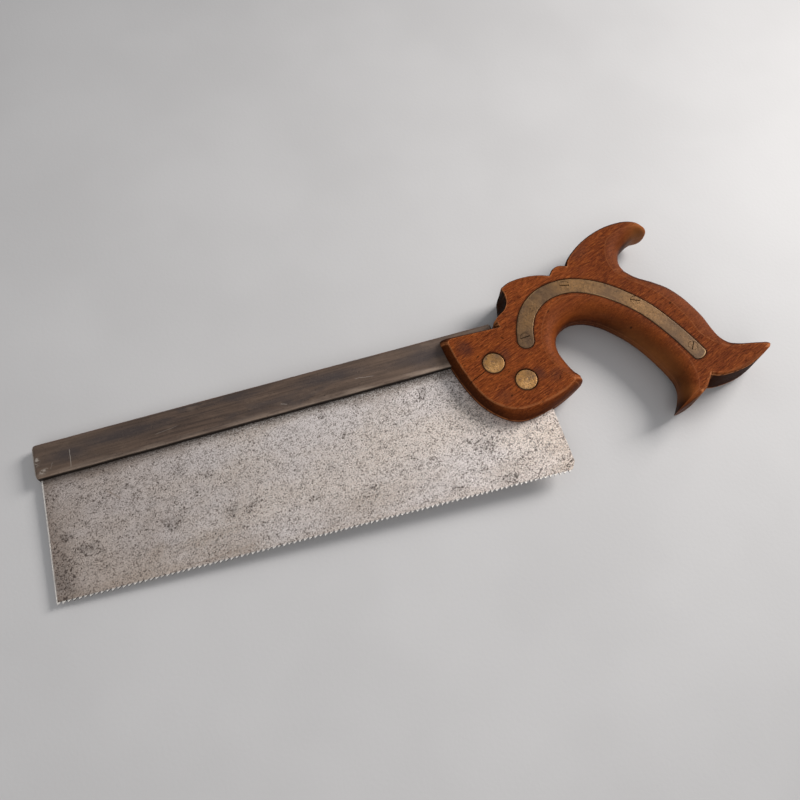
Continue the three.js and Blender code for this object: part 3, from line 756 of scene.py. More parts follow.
def make_back(material):
    stations = []
    for i in range(13):
        angle = i / 12 * math.pi / 2
        drawn = 1 - math.sin(angle)
        x = -NOSE_REACH + NOSE_RUN * (1 - math.cos(angle))
        stations.append((x, NOSE_SIDE * drawn, NOSE_LIP * drawn, NOSE_TOP * drawn))
    rough = random.Random(7)
    waves = [(rough.uniform(0.02, 0.16), rough.uniform(0, 6.3)) for _ in range(5)]
    for i in range(1, 120):
        x = i / 120 * (BACK_LENGTH - BACK_HEEL_CHAMFER)
        sag = 0.05 + 0.02 * sum(math.sin(k * x + phase) for k, phase in waves) / 2
        fade = min(1.0, x / 12)
        stations.append((x, sag * fade, 0.06 * fade * (1 + math.sin(0.19 * x)), sag * fade))
    chamfer = BACK_HEEL_CHAMFER
    stations.append((BACK_LENGTH - chamfer, 0, 0, 0))
    stations.append((BACK_LENGTH, chamfer, chamfer, chamfer))
    rings = [[(x, y, MIDDLE + z) for y, z in back_section(*drawn)] for x, *drawn in stations]
    piece = new_piece("back_steel", *skinned(rings))
    finish_piece(piece, "back", material, 40)


# ---------------------------------------------------------------- bolts and nuts

def disc_profile(rounding, crown):
    """From the rim inwards over a worn edge and a slightly crowned face: (radius, height)."""
    inner = DISC_RADIUS - rounding
    points = []
    for i in range(7):
        angle = i / 6 * math.pi / 2
        points.append((
            DISC_RADIUS - rounding * (1 - math.cos(angle)), rounding * math.sin(angle)))
    for i in range(1, 16):
        share = i / 16
        radius = inner * (1 - share)
        height = rounding + crown * (1 - (radius / inner) ** 2)
        if FACE_RING[0] < radius < FACE_RING[1]:
            height -= FACE_RING_DEPTH
        points.append((radius, height))
    points.append((0.05, rounding + crown))
    return points


def make_bolt(number, x, y, material):
    top = HANDLE_THICKNESS - DISC_SINK
    under = top - DISC_THICKNESS
    base = top - HEAD_CROWN - HEAD_ROUNDING
    rim = [(r, base + h) for r, h in disc_profile(HEAD_ROUNDING, HEAD_CROWN)]
    head = [(DISC_RADIUS - 0.1, under), (DISC_RADIUS, under + 0.1)] + rim
    piece = new_piece("bolt_head_%d" % number, *turned(x, y, head, DISC_SIDES))
    shank = [(SHANK_RADIUS - 0.3, SHANK_END_Z), (SHANK_RADIUS, SHANK_END_Z + 0.3)]
    z = SHANK_END_Z + 0.5
    while z < NUT_BOSS_END_Z:
        shank += [(SHANK_RADIUS, z), (SHANK_RADIUS - THREAD_DEPTH, z + THREAD_PITCH / 2)]
        z += THREAD_PITCH
    shank += [(SHANK_RADIUS, z), (SHANK_RADIUS, under + 0.5)]
    carve(piece, [
        box_shape(x, y, NECK_WIDTH, NECK_WIDTH, NECK_END_Z, under + DISC_THICKNESS / 2),
        turned(x, y, shank, SHANK_SIDES),
    ], "UNION")
    finish_piece(piece, "saw_bolt_%d" % number, material, 35)


def make_nut(number, x, y, material):
    face = DISC_SINK
    base = face + NUT_ROUNDING + NUT_CROWN
    rim = [(r, base - h) for r, h in disc_profile(NUT_ROUNDING, NUT_CROWN)]
    profile = rim[::-1] + [(DISC_RADIUS, face + DISC_THICKNESS)]
    piece = new_piece("nut_%d" % number, *turned(x, y, profile, DISC_SIDES))
    boss = [(NUT_BOSS_RADIUS, face + DISC_THICKNESS / 2), (NUT_BOSS_RADIUS, NUT_BOSS_END_Z)]
    carve(piece, [turned(x, y, boss, SHANK_SIDES)], "UNION")
    bore = SHANK_RADIUS + PLATE_FIT
    carve(piece, [
        turned(x, y, [(bore, -CUT_PAST), (bore, NUT_BOSS_END_Z + CUT_PAST)], SHANK_SIDES),
        box_shape(x, y, 3 * DISC_RADIUS, NUT_SLOT_WIDTH, -CUT_PAST, face + NUT_SLOT_DEPTH),
    ])
    finish_piece(piece, "split_nut_%d" % number, material, 35)


# ---------------------------------------------------------------- strap and its screws

def strap_outline(grow, steps=90, cap_steps=18):
    """The strap's edge, `grow` outside its own, with its rounded ends."""
    start_half, end_half = STRAP_HALF_WIDTH

    def beside(along, ahead, across):
        point = spline(STRAP_LINE, along)
        way = spline(STRAP_LINE, min(1, along + 1e-3)) - spline(STRAP_LINE, max(0, along - 1e-3))
        way = way / np.linalg.norm(way)
        return (
            point[0] + way[0] * ahead - way[1] * across,
            point[1] + way[1] * ahead + way[0] * across,
        )

    def cap(along, side, half, depth):
        angles = [i / cap_steps * math.pi for i in range(1, cap_steps)]
        reach, wide = side * (depth + grow), side * (half + grow)
        return [beside(along, math.sin(a) * reach, math.cos(a) * wide) for a in angles]

    near, far = [], []
    for i in range(steps + 1):
        along = i / steps
        half = start_half + (end_half - start_half) * along + grow
        near.append(beside(along, 0, half))
        far.insert(0, beside(along, 0, -half))
    tail = cap(1, 1, end_half, STRAP_END_DEPTH[1])
    front = cap(0, -1, start_half, STRAP_END_DEPTH[0])
    return (near + tail + far + front)[::-1]


def screw_profile(grow, above):
    top = HANDLE_THICKNESS - SCREW_SINK
    return [
        (0.1, top - SCREW_LENGTH), (SCREW_SHANK_RADIUS + grow, top - SCREW_LENGTH + 2),
        (SCREW_SHANK_RADIUS + grow, top - SCREW_HEAD_DEPTH - grow),
        (SCREW_HEAD_RADIUS + grow, top - 0.2 - grow), (SCREW_HEAD_RADIUS + grow, top + above),
    ]


def make_strap(material):
    seat = HANDLE_THICKNESS - STRAP_THICKNESS
    top = HANDLE_THICKNESS
    layers = [(seat, strap_outline(0))]
    layers += [(top - down, strap_outline(-inward)) for down, inward in STRAP_EDGE]
    layers.append((top, strap_outline(-STRAP_RIM)))
    piece = new_piece("strap_brass", *stack(layers))
    hole = screw_profile(SCREW_FIT, CUT_PAST)
    carve(piece, [turned(x, y, hole, SCREW_SIDES) for x, y, _ in STRAP_SCREWS])
    outline = tree_of([(x, y, top) for x, y in strap_outline(0, 400, 40)])
    paint(piece, "rim", [nearness(outline, vertex.co, STRAP_RIM) for vertex in piece.data.vertices])
    finish_piece(piece, "strap", material, 35)


def make_screw(number, x, y, angle, material):
    top = HANDLE_THICKNESS - SCREW_SINK
    profile = screw_profile(0, 0)[:-1]
    profile += [
        (SCREW_HEAD_RADIUS, top - 0.06), (SCREW_HEAD_RADIUS - 0.03, top - 0.02),
        (SCREW_HEAD_RADIUS - 0.08, top), (SCREW_HEAD_RADIUS - 0.14, top), (0.1, top),
    ]
    piece = new_piece("screw_%d" % number, *turned(x, y, profile, SCREW_SIDES))
    carve(piece, [box_shape(
        x, y, 3 * SCREW_HEAD_RADIUS, SCREW_SLOT_WIDTH, top - SCREW_SLOT_DEPTH, top + CUT_PAST,
        math.radians(angle))])
    finish_piece(piece, "strap_screw_%d" % number, material, 35)


# ---------------------------------------------------------------- materials

class Surface:
    """One material's node tree. Its `point` is the surface point in millimetres, drawing frame."""

    def __init__(self, name):
        self.material = bpy.data.materials.new(name)
        self.material.use_nodes = True
        self.tree = self.material.node_tree
        metres = self.add("ShaderNodeTexCoord").outputs["Object"]
        self.point = self.mapped(metres, (1 / MM,) * 3, offset=tuple(-c / MM for c in ORIGIN))
        self.x, self.y, _ = self.split(self.point)

    def add(self, kind, inputs=None, **settings):
        """A new node, with its settings, then its inputs by name or number."""
        node = self.tree.nodes.new(kind)
        for key, value in settings.items():
            setattr(node, key, value)
        for key, value in (inputs or {}).items():
            self.put(node.inputs[key], value)
        return node

    def put(self, socket, value):
        if isinstance(value, bpy.types.NodeSocket):
            self.tree.links.new(value, socket)
        elif isinstance(value, tuple) and len(value) == 3 and socket.type == "RGBA":
            socket.default_value = (*value, 1)
        else:
            socket.default_value = value

    def math(self, operation, *values, clamp=False):
        inputs = dict(enumerate(values))
        return self.add("ShaderNodeMath", inputs, operation=operation, use_clamp=clamp).outputs[0]

    def step(self, value, low, high, start=0.0, end=1.0):
        """Eases from start at `low` to end at `high`."""
        inputs = {"Value": value, "From Min": low, "From Max": high, "To Min": start, "To Max": end}
        node = self.add("ShaderNodeMapRange", inputs, interpolation_type="SMOOTHSTEP")
        return node.outputs["Result"]

    def mix(self, factor, a, b):
        return self.add("ShaderNodeMix", {0: factor, 6: a, 7: b}, data_type="RGBA").outputs[2]

    def blend(self, factor, a, b):
        return self.add("ShaderNodeMix", {0: factor, 2: a, 3: b}, data_type="FLOAT").outputs[0]

    def mapped(self, vector, scale=(1, 1, 1), turn=0.0, offset=(0, 0, 0)):
        """A vector scaled, turned about z by -turn degrees, then moved."""
        rotation = (0, 0, -math.radians(turn))
        inputs = {"Vector": vector, "Scale": scale, "Rotation": rotation, "Location": offset}
        return self.add("ShaderNodeMapping", inputs).outputs["Vector"]

    def stretched(self, scale, turn=0.0, offset=(0, 0, 0)):
        """The point turned about z by -turn degrees, then scaled along each axis and moved."""
        scale = scale if isinstance(scale, tuple) else (scale,) * 3
        return self.mapped(self.mapped(self.point, turn=turn), scale, offset=offset)

    def about(self, x, y, turn):
        """The point as seen from (x, y), turned about it by -turn degrees."""
        return self.mapped(self.mapped(self.point, offset=(-x, -y, 0)), turn=turn)

    def split(self, vector):
        return self.add("ShaderNodeSeparateXYZ", {0: vector}).outputs

    def noise(self, scale, detail=2.0, rough=0.5, warp=0.0, turn=0.0, offset=(0, 0, 0)):
        inputs = {"Vector": self.stretched(scale, turn, offset), "Scale": 1, "Detail": detail,
                  "Roughness": rough, "Distortion": warp}
        return self.add("ShaderNodeTexNoise", inputs).outputs["Fac"]

    def pits(self, size, share, offset=(0, 0, 0), depth=0.35):
        """Scattered round pits about `size` across: 1 in a pit. `share` of the cells hold one."""
        inputs = {"Vector": self.stretched(1 / size, 20, offset), "Scale": 1}
        cells = self.add("ShaderNodeTexVoronoi", inputs)
        distance = cells.outputs["Distance"]
        chance = self.add("ShaderNodeSeparateColor", {0: cells.outputs["Color"]}).outputs[0]
        present = self.math("LESS_THAN", chance, share)
        return self.times(present, self.step(distance, depth, depth * 0.4))

    def spot(self, x, y, radius, soft=1.0, squash=1.0, turn=0.0, ragged=0.0):
        """1 inside an ellipse at (x, y), easing to 0 over `soft` of its radius."""
        place = self.mapped(self.about(x, y, turn), (1 / radius, 1 / (radius * squash), 0))
        length = self.add("ShaderNodeVectorMath", {0: place}, operation="LENGTH")
        distance = length.outputs["Value"]
        if ragged:
            wobble = self.noise(1.2 / radius, 4, 0.65, offset=(x, y, 0))
            distance = self.total(distance, self.swing(wobble, ragged))
        return self.step(distance, 1 + soft / 2, max(0.0, 1 - soft / 2))

    def line(self, a, b, width, wobble=0.0):
        """1 along a thin straight mark from a to b."""
        (x0, y0), (x1, y1) = a, b
        length = math.hypot(x1 - x0, y1 - y0)
        way = math.degrees(math.atan2(y1 - y0, x1 - x0))
        along, side, _ = self.split(self.about((x0 + x1) / 2, (y0 + y1) / 2, way))
        if wobble:
            bend = self.noise(3 / length, 3, offset=(x0, y1, 0))
            side = self.total(side, self.swing(bend, wobble))
        inside = self.step(self.math("ABSOLUTE", side), width, width * 0.5)
        ends = self.step(self.math("ABSOLUTE", along), length / 2, length / 2 * 0.75)
        return self.times(inside, ends)

    def spots(self, rows):
        return self.either(*[self.times(self.spot(*row), strength) for strength, *row in rows])

    def lines(self, rows):
        return self.either(*[self.times(self.line(*row), strength) for strength, *row in rows])

    def attribute(self, name):
        return self.add("ShaderNodeAttribute", attribute_name=name).outputs["Fac"]

    def normal(self):
        return self.split(self.add("ShaderNodeNewGeometry").outputs["Normal"])

    def folded(self, operation, values):
        result = values[0]
        for value in values[1:]:
            result = self.math(operation, result, value)
        return result

    def total(self, *values):
        return self.folded("ADD", values)

    def times(self, *values):
        return self.folded("MULTIPLY", values)

    def either(self, *values):
        return self.folded("MAXIMUM", values)

    def swing(self, value, size):
        """A noise value as a deviation from its middle, times `size`."""
        return self.times(self.math("SUBTRACT", value, 0.5), size)

    def coat(self, color, *share):
        """Lays a colour over the surface's own, by the product of the given shares."""
        self.color = self.mix(self.times(*share), self.color, color)

    def finish(self, roughness, height, metallic=0.0, specular=0.5):
        """`height` is the surface relief in millimetres."""
        bump = self.add("ShaderNodeBump", {"Distance": MM, "Strength": 1, "Height": height})
        shader = self.tree.nodes["Principled BSDF"]
        for name, value in (
            ("Base Color", self.color), ("Roughness", roughness), ("Metallic", metallic),
            ("Specular IOR Level", specular), ("Normal", bump.outputs["Normal"]),
        ):
            self.put(shader.inputs[name], value)
        return self.material


def wood_material():
    """Old beech with a worn dark finish: pores and ray flecks, darker round the strap and the
    bolts, worn arrises with a painted highlight, painted shade on sides, front, top edges, tail and
    nose hollow, and painted light on the horn's tip and the grip.
    """
    s = Surface("wood")
    arris = s.attribute("arris")
    mouth_dark = s.attribute("mouth_dark")
    polish = s.attribute("polish")
    nx, ny, nz = s.normal()

    rings = s.noise((0.018, 0.2, 0.2), 3, 0.55, 0.4, turn=GRAIN_TURN)
    streaks = s.noise((0.06, 0.95, 0.95), 3, 0.6, turn=GRAIN_TURN, offset=(3, 0, 0))
    fleck_noise = s.noise((0.27, 2.7, 2.7), 3, 0.6, turn=GRAIN_TURN, offset=(0, 5, 0))
    pore_noise = s.noise((0.55, 3.6, 3.6), 2, 0.6, turn=GRAIN_TURN, offset=(7, 0, 2))
    mottle = s.noise(0.09, 3, 0.6, offset=(1, 4, 0))
    flecks = s.step(fleck_noise, 0.5, 0.7)
    pores = s.step(pore_noise, 0.53, 0.66)
    dark_rays = s.step(fleck_noise, 0.46, 0.3)

    s.color = s.mix(s.step(streaks, 0.3, 0.7), WOOD_DEEP, WOOD_MID)
    s.coat(WOOD_WARM, s.step(rings, 0.4, 0.68), 0.5)
    s.coat(WOOD_PURPLE, s.step(mottle, 0.5, 0.72), 0.4)
    rough_grain = s.blend(polish, 1.0, 0.4)
    s.coat(WOOD_LIGHT, flecks, 0.66, rough_grain)
    s.coat(WOOD_DARK, dark_rays, 0.5, rough_grain)
    s.coat(WOOD_DARK, pores, 0.75, rough_grain)

    handled = s.times(polish, s.step(mottle, 0.25, 0.6, 0.55, 1.0))
    s.coat(WOOD_HANDLED, handled, 0.62)

    # Painted shade on faces turned towards the toe, such as the cheek's front bevel.
    shaded_front = s.step(nx, -0.3, -0.85)
    # Painted shade on the side walls, which face sideways or down.
    shaded_sides = s.times(s.step(nz, 0.85, 0.1), s.step(nz, -0.9, -0.5))
    s.coat(WOOD_SIDE_SHADE, shaded_sides, s.step(streaks, 0.3, 0.7, 0.9, 0.62))
    s.coat(WOOD_GRIME_AND_SHADE, shaded_front, 0.5)
    # Painted shade on faces turned towards the top of the saw.
    s.coat(WOOD_GRIME_AND_SHADE, s.step(ny, 0.15, 0.5, 0, 0.75))
    # Painted shade on the tail's side walls.
    tail_wall_shade = s.times(s.step(s.x, 322, 328), s.step(nz, 0.6, 0.2))
    s.coat(WOOD_BLACK, tail_wall_shade, 0.8)
    # Painted shade: the face darker towards the horn and the tail.
    s.coat(WOOD_SIDE_SHADE, s.step(s.x, 285, 320, 0, 0.2))
    # Painted light on the horn's tip and on the grip's lower side.
    s.coat(WOOD_PAINTED_LIGHT, s.spots(PAINTED_LIGHT_SPOTS))
    s.coat(WOOD_STAIN, s.spots(STAIN_SPOTS))

    dents = s.spots(DENT_SPOTS)
    crack = s.line(*CRACK)
    s.coat(WOOD_GRIME_AND_SHADE, dents, 0.75)
    s.coat(WOOD_BLACK, crack)
    # Darker wood round the strap and the bolts.
    s.coat(WOOD_GRIME_AND_SHADE, s.math("POWER", mouth_dark, 1.6), 0.85)
    # Worn arrises, with a painted highlight line along them, left off edges turned to the top.
    arris_wear_and_highlight = s.times(arris, s.step(s.noise(0.5, 3, 0.6), 0.3, 0.52))
    arris_wear_and_highlight = s.times(arris_wear_and_highlight, s.step(ny, 0.3, 0.05, 0, 0.9))
    s.coat(WOOD_ARRIS, arris_wear_and_highlight)
    s.coat(WOOD_BLACK, s.attribute("shade"))

    rough = s.blend(polish, 0.6, 0.48)
    rough = s.total(rough, s.swing(mottle, 0.25))
    rough = s.math("ADD", rough, s.times(pores, 0.12), clamp=True)
    undulation = s.noise((0.1, 0.16, 0.16), 2, turn=GRAIN_TURN)
    height = s.total(
        s.times(pores, rough_grain, -0.035),
        s.times(fleck_noise, rough_grain, 0.05),
        s.times(undulation, 0.25),
        s.times(dents, -0.12),
        s.times(crack, -0.15),
    )
    return s.finish(rough, height, specular=s.blend(polish, 0.03, 0.07))


def plate_material():
    """Old bare steel: dense fine rust pits in clusters, brown stain by the back and at the toe,
    painted shade towards the toe and, with dark metal, on the plate's edges.
    """
    s = Surface("plate_steel")
    fine = s.noise((0.95, 1.25, 1.25), 5, 0.82, turn=20)
    grit = s.noise((2.6, 3.0, 3.0), 3, 0.7, turn=20, offset=(4, 0, 0))
    broad = s.noise((0.035, 0.05, 0.05), 3, 0.55, offset=(0, 2, 0))
    tone = s.noise((0.016, 0.03, 0.03), 3, 0.5, offset=(5, 9, 0))
    cluster = s.noise((0.11, 0.13, 0.13), 4, 0.65, 0.6, offset=(8, 1, 0))
    thickness = s.noise((0.22, 0.28, 0.28), 3, 0.6, turn=10, offset=(3, 3, 3))
    uneven = s.total(fine, s.swing(thickness, 0.22))
    brushed = s.noise((0.03, 1.6, 1.6), 3, 0.6, turn=2)

    s.color = s.mix(s.step(tone, 0.36, 0.64), STEEL_COOL, STEEL_WARM)
    s.coat(STEEL_TAN, s.step(broad, 0.45, 0.75), 0.28)
    s.coat(STEEL_BROWN, s.step(brushed, 0.5, 0.8), 0.18)

    toe = s.step(s.total(s.x, s.times(s.y, 0.14), s.times(broad, 16)), 18, 5)
    under_back = s.step(s.total(s.y, s.times(fine, 3)), -3.4, 0.6)
    near_back = s.step(s.total(s.y, s.times(broad, 12)), -2, 5)
    line_y = s.total(s.y, s.times(s.x, TOOTH_LINE_SLOPE))
    by_teeth = s.step(s.total(line_y, s.times(broad, -9)), -60.5, -66)
    # Painted shade: the plate darker and browner towards the toe.
    s.coat(STEEL_BROWN, s.step(s.x, 130, -10), 0.34)
    s.coat(STEEL_BROWN, toe, 0.6)
    s.coat(STEEL_BROWN, near_back, 0.62)
    s.coat(RUST_DARK_AND_SHADE, under_back, 0.75)
    s.coat(STEEL_TAN, by_teeth, 0.35)

    marks = s.spots(RUST_SPOTS)
    s.coat(STEEL_TAN, s.spots(TAN_SPOTS), 0.45)
    s.coat(STEEL_GREY, marks, 0.3)

    by_heel = s.step(s.x, 170, 258, 0, 0.12)
    crowding = s.total(s.times(marks, 0.6), s.times(toe, 0.16), by_heel)
    dense = s.step(s.total(cluster, crowding), 0.46, 0.76)
    small = s.pits(1.0, 0.42, depth=0.46)
    medium = s.times(s.pits(1.3, 0.4, (9, 2, 5), 0.5), s.step(uneven, 0.56, 0.44))
    large = s.times(s.pits(1.9, 0.42, (3, 8, 1), 0.4), dense)
    blot_noise = s.noise((0.55, 0.7, 0.7), 4, 0.7, 0.8, turn=20, offset=(2, 2, 2))
    blots = s.times(s.step(blot_noise, 0.53, 0.6), dense)
    speckle = s.step(uneven, 0.495, 0.4)
    s.coat(STEEL_SPECK, speckle, 0.9)
    s.coat(STEEL_SPECK, s.step(grit, 0.49, 0.4), 0.55)
    bare = s.times(s.step(grit, 0.51, 0.62), s.step(s.x, 20, 110, 0.2, 0.75))
    s.coat(STEEL_BRIGHT, bare)
    s.coat(RUST, small, s.blend(dense, 0.6, 0.9))
    s.coat(RUST_DARK_AND_SHADE, medium, 0.9)
    s.coat(RUST_DARK_AND_SHADE, s.either(large, blots), 0.88)
    pitted = s.either(s.times(small, 0.6), medium, large, blots)

    s.coat(STEEL_BROWN, s.lines(PLATE_SCRATCHES))
    toe_line = s.total(s.x, s.times(s.y, -TOE_SLANT))
    rubbed = s.either(
        s.times(s.step(toe_line, 0.75, 0.35), 0.75),
        s.step(line_y, -TOE_DEPTH + 1.3, -TOE_DEPTH + 0.7),
    )
    rubbed = s.times(rubbed, s.step(fine, 0.3, 0.5, 0.35, 1.0))
    s.coat(STEEL_BRIGHT, rubbed)
    # The plate's edges and tooth walls darker: dark metal, with painted shade to make the gullets
    # black.
    nz = s.math("ABSOLUTE", s.normal()[2])
    s.coat(RUST_DARK_AND_SHADE, s.step(nz, 0.6, 0.3), s.step(s.x, 3, 4))

    rust = s.either(pitted, s.times(under_back, 0.8))
    metallic = s.blend(rust, 0.72, 0.1)
    rough = s.total(s.blend(rust, 0.5, 0.8), s.swing(fine, 0.25))
    height = s.total(s.times(pitted, -0.05), s.times(fine, 0.05), s.times(broad, 0.25))
    return s.finish(rough, height, metallic)


def back_material():
    """Steel gone dark brown, with lengthwise streaks, blue-grey bloom and rubbed lips with a
    painted highlight, and painted shade on its top and its underside.
    """
    s = Surface("back_steel")
    streaks = s.noise((0.035, 0.75, 0.75), 4, 0.62, 0.3)
    fine = s.noise((0.7, 1.3, 1.3), 4, 0.7, offset=(0, 4, 0))
    bloom = s.noise((0.03, 0.11, 0.11), 3, 0.55, 0.5, offset=(2, 7, 0))
    patches = s.noise((0.1, 0.22, 0.22), 4, 0.62, offset=(9, 0, 0))
    _, ny, nz = s.normal()

    s.color = s.mix(s.step(streaks, 0.34, 0.66), BACK_DARK, BACK_BROWN)
    s.coat(BACK_BLUE, s.step(bloom, 0.5, 0.72), 0.7)
    s.coat(BACK_TAN, s.step(patches, 0.54, 0.76), 0.5)
    toward_heel = s.step(s.x, 90, 225)
    s.coat(BACK_TAN, toward_heel, 0.3)
    s.coat(BACK_TAN, s.step(s.x, 70, 5, 0, 0.3))
    s.coat(BACK_BLUE, s.spots(BLOTCH_SPOTS), 0.72)
    top_rust = s.times(s.step(ny, 0.25, 0.75), s.step(patches, 0.35, 0.65))
    # Painted shade on the back's top, turned away from the light.
    s.coat(BACK_DARK, s.step(ny, 0.35, 0.8), 0.55)
    s.coat(BACK_RUST, top_rust, 0.5)
    # The lip: rubbed wear, with a painted highlight on its rounding that grows towards the heel.
    lip = s.times(s.step(s.y, 3.6, 1.6), s.step(nz, 0.05, 0.6))
    wear = s.noise((0.05, 0.3, 0.3), 3, 0.6, offset=(1, 1, 6))
    lip_wear_and_highlight = s.times(lip, s.step(wear, 0.3, 0.62))
    s.coat(BACK_RUBBED_AND_HIGHLIGHT, lip_wear_and_highlight, s.blend(toward_heel, 0.4, 0.95))
    # Painted shadow on the underside, where the back overhangs the plate.
    s.coat(BACK_BLACK, s.step(ny, -0.55, -0.95))

    small = s.pits(0.75, 0.35, (2, 0, 4), 0.38)
    large = s.times(s.pits(2.0, 0.2, (6, 3, 0), 0.3), s.step(patches, 0.45, 0.65))
    s.coat(BACK_BLACK, small, 0.4)
    s.coat(BACK_BLACK, large, 0.5)
    s.coat(BACK_TAN, s.step(fine, 0.52, 0.74), 0.3)
    scratch = s.lines(BACK_SCRATCHES)
    chips = s.either(
        s.times(s.spot(2.4, 3.4, 1.9, 1.2, 0.6, 30, 2.2), s.step(fine, 0.42, 0.55)),
        s.times(s.step(s.x, -0.9, -1.7), s.step(fine, 0.4, 0.56)),
        s.times(s.spot(0.0, 9.5, 1.2, 1.2, 1.8, 0, 2.2), s.step(fine, 0.45, 0.58)),
    )
    s.coat(BACK_BRIGHT, s.either(scratch, s.times(chips, 0.8)), 0.85)

    rough = s.total(0.5, s.swing(fine, 0.35))
    rough = s.math("ADD", rough, s.swing(patches, 0.2), clamp=True)
    height = s.total(
        s.times(fine, 0.035),
        s.times(streaks, 0.04),
        s.times(s.either(small, large), -0.03),
        s.times(scratch, -0.04),
        s.times(bloom, 0.2),
    )
    return s.finish(rough, height, 0.6)


def bolt_brass_material():
    """Brass rubbed bright, mottled with brown tarnish and fine dark pits, with a painted highlight
    at each head's lower left and painted shade on its rim and upper right.
    """
    s = Surface("brass")
    mottle = s.noise(0.42, 4, 0.65, 0.5, offset=(3, 0, 1))
    fine = s.noise(1.6, 3, 0.65)
    s.color = s.mix(s.step(mottle, 0.34, 0.54), BRASS_TARNISH_AND_SHADE, BRASS_GOLD)
    s.coat(BRASS_BRIGHT, s.step(fine, 0.52, 0.7), 0.5)
    # Painted highlight at the lower left of each bolt head.
    bright = s.either(*[s.spot(x - 1.2, y - 2.4, 3.6, 1.5, 0.7, 20) for x, y in BOLTS])
    s.coat(BRASS_BRIGHT, bright, s.step(fine, 0.4, 0.56, 0.1, 0.75))
    s.coat(BRASS_DARK, s.pits(0.7, 0.42, (5, 1, 0), 0.44), 0.8)
    # Darker brass on each head: tarnish at the centre and the rim, with painted shade on the rim
    # and the upper right side.
    rings = []
    for x, y in BOLTS:
        rim = s.math("SUBTRACT", 1.0, s.spot(x, y, DISC_RADIUS - 0.35, 0.12))
        near = s.spot(x, y, DISC_RADIUS + 2, 0.05)
        centre = s.times(s.spot(x, y, 1.5, 0.4), s.math("SUBTRACT", 1.0, s.spot(x, y, 0.75, 0.7)))
        side = s.spot(x + 3.6, y + 3.4, 3.6, 1.6)
        rings.append(s.times(near, s.either(
            s.times(rim, 0.8), s.times(centre, 0.45), s.times(side, 0.62))))
    s.coat(BRASS_TARNISH_AND_SHADE, s.either(*rings))
    rough = s.blend(s.step(mottle, 0.36, 0.62), 0.55, 0.36)
    height = s.total(s.times(mottle, 0.12), s.times(fine, 0.03))
    return s.finish(rough, height, 0.85)


def strap_brass_material():
    """Brass gone dull olive brown, scuffed golden in the middle, with fine cross scratches, painted
    shade over its right end and painted glints on its rim.
    """
    s = Surface("strap_brass")
    mottle = s.noise((0.13, 0.2, 0.2), 4, 0.6, 0.4, turn=-30, offset=(4, 0, 0))
    fine = s.noise(0.9, 4, 0.68, offset=(0, 3, 0))
    hatch_a = s.noise((0.2, 2.4, 1), 2, 0.6, turn=62)
    hatch_b = s.noise((0.2, 2.4, 1), 2, 0.6, turn=-52, offset=(5, 0, 0))
    dark = s.noise(0.32, 4, 0.62, offset=(8, 8, 0))

    s.color = s.mix(s.step(mottle, 0.34, 0.66), STRAP_DULL, STRAP_OLIVE)
    gold = s.spots(GOLD_SPOTS)
    s.coat(STRAP_GOLD, gold, s.step(fine, 0.36, 0.6, 0.45, 1.0))
    hatch = s.either(s.step(hatch_a, 0.56, 0.72), s.step(hatch_b, 0.58, 0.74))
    hatch = s.times(hatch, s.blend(gold, 0.25, 0.7))
    s.coat(STRAP_LIGHT, hatch, 0.7)
    s.coat(STRAP_DARK, s.step(dark, 0.55, 0.72), 0.55)
    s.coat(STRAP_DARK, s.pits(0.8, 0.28, (1, 6, 3), 0.38), 0.6)
    # Painted shade over the strap's right end.
    s.coat(STRAP_DARK, s.step(s.x, 300, 338, 0, 0.5))
    edge = s.attribute("rim")
    s.coat(STRAP_DARK, edge, s.step(fine, 0.5, 0.38, 0.1, 0.7))
    # Painted glints on the strap's rim.
    s.coat(STRAP_LIGHT, edge, s.spots(GLINT_SPOTS), 0.8)
    rough = s.total(s.blend(gold, 0.5, 0.38), s.swing(fine, 0.25))
    height = s.total(s.times(mottle, 0.2), s.times(fine, 0.03), s.times(hatch, -0.012))
    return s.finish(rough, height, 0.8)


def floor_material():
    s = Surface("floor_paint")
    cloud = s.noise(0.01, 3)
    s.color = s.mix(s.step(cloud, 0.3, 0.7), FLOOR_DARK, FLOOR_PALE)
    return s.finish(0.6, s.times(s.noise(0.5, 3), 0.05))


# ---------------------------------------------------------------- stage

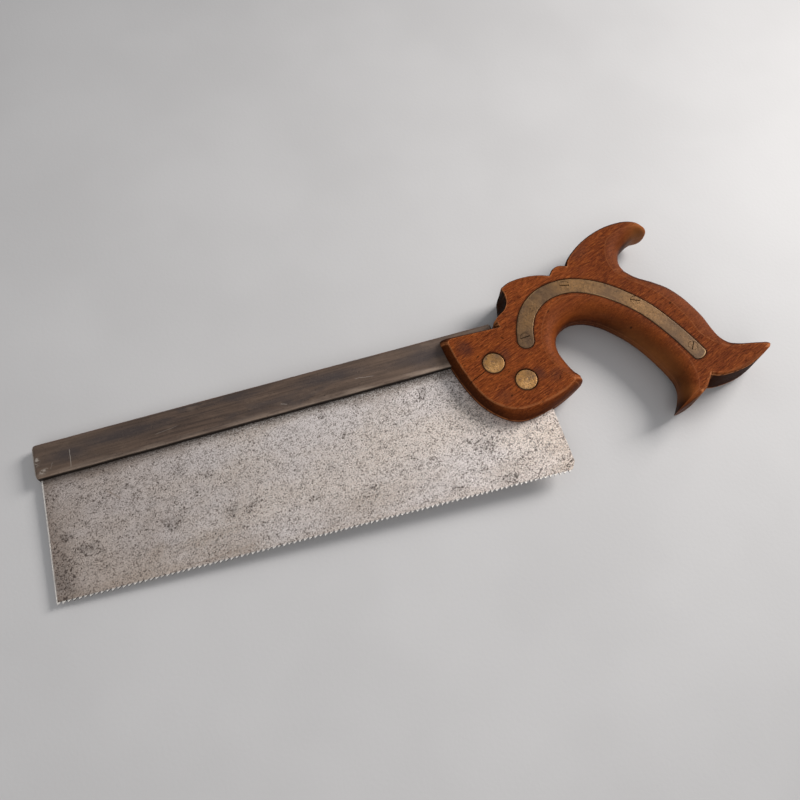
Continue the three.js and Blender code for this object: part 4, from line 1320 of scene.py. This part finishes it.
def make_floor():
    half = FLOOR_HALF
    verts = [(-half, -half, 0), (half, -half, 0), (half, half, 0), (-half, half, 0)]
    mesh = bpy.data.meshes.new("floor")
    mesh.from_pydata(verts, [], [(0, 1, 2, 3)])
    floor = bpy.data.objects.new("floor", mesh)
    bpy.context.scene.collection.objects.link(floor)
    floor.rotation_euler = (math.atan(FLOOR_RISE_Y), -math.atan(FLOOR_RISE_X), 0)
    floor.location = at((100, 0, FLOOR_HEIGHT + FLOOR_RISE_X * 100))
    floor.data.materials.append(floor_material())


def make_light(name, location, target, size, spread, power, color):
    data = bpy.data.lights.new(name, "AREA")
    data.shape = "SQUARE"
    data.size = size
    data.spread = math.radians(spread)
    data.energy = power
    data.color = color
    light = bpy.data.objects.new(name, data)
    light.location = location
    light.rotation_euler = (Vector(target) - Vector(location)).to_track_quat("-Z", "Y").to_euler()
    bpy.context.scene.collection.objects.link(light)


def make_lights():
    for name, settings in LIGHTS.items():
        make_light(name, *settings)
    world = bpy.data.worlds.new("studio")
    world.use_nodes = True
    background = world.node_tree.nodes["Background"]
    background.inputs["Color"].default_value = WORLD_COLOR
    background.inputs["Strength"].default_value = WORLD_STRENGTH
    bpy.context.scene.world = world
    bpy.context.scene.view_settings.view_transform = "Standard"


def make_camera():
    data = bpy.data.cameras.new("camera")
    data.lens = CAMERA_LENS
    data.sensor_width = CAMERA_SENSOR
    data.clip_start = 0.01
    camera = bpy.data.objects.new("camera", data)
    camera.location = CAMERA_PLACE
    camera.rotation_euler = [math.radians(angle) for angle in CAMERA_TURN]
    bpy.context.scene.collection.objects.link(camera)
    bpy.context.scene.camera = camera


brass = bolt_brass_material()
strap_brass = strap_brass_material()

make_handle(wood_material())
make_plate(plate_material())
make_back(back_material())
for number, (x, y) in enumerate(BOLTS, 1):
    make_bolt(number, x, y, brass)
    make_nut(number, x, y, brass)
make_strap(strap_brass)
for number, (x, y, angle) in enumerate(STRAP_SCREWS, 1):
    make_screw(number, x, y, angle, strap_brass)

make_floor()
make_lights()
make_camera()
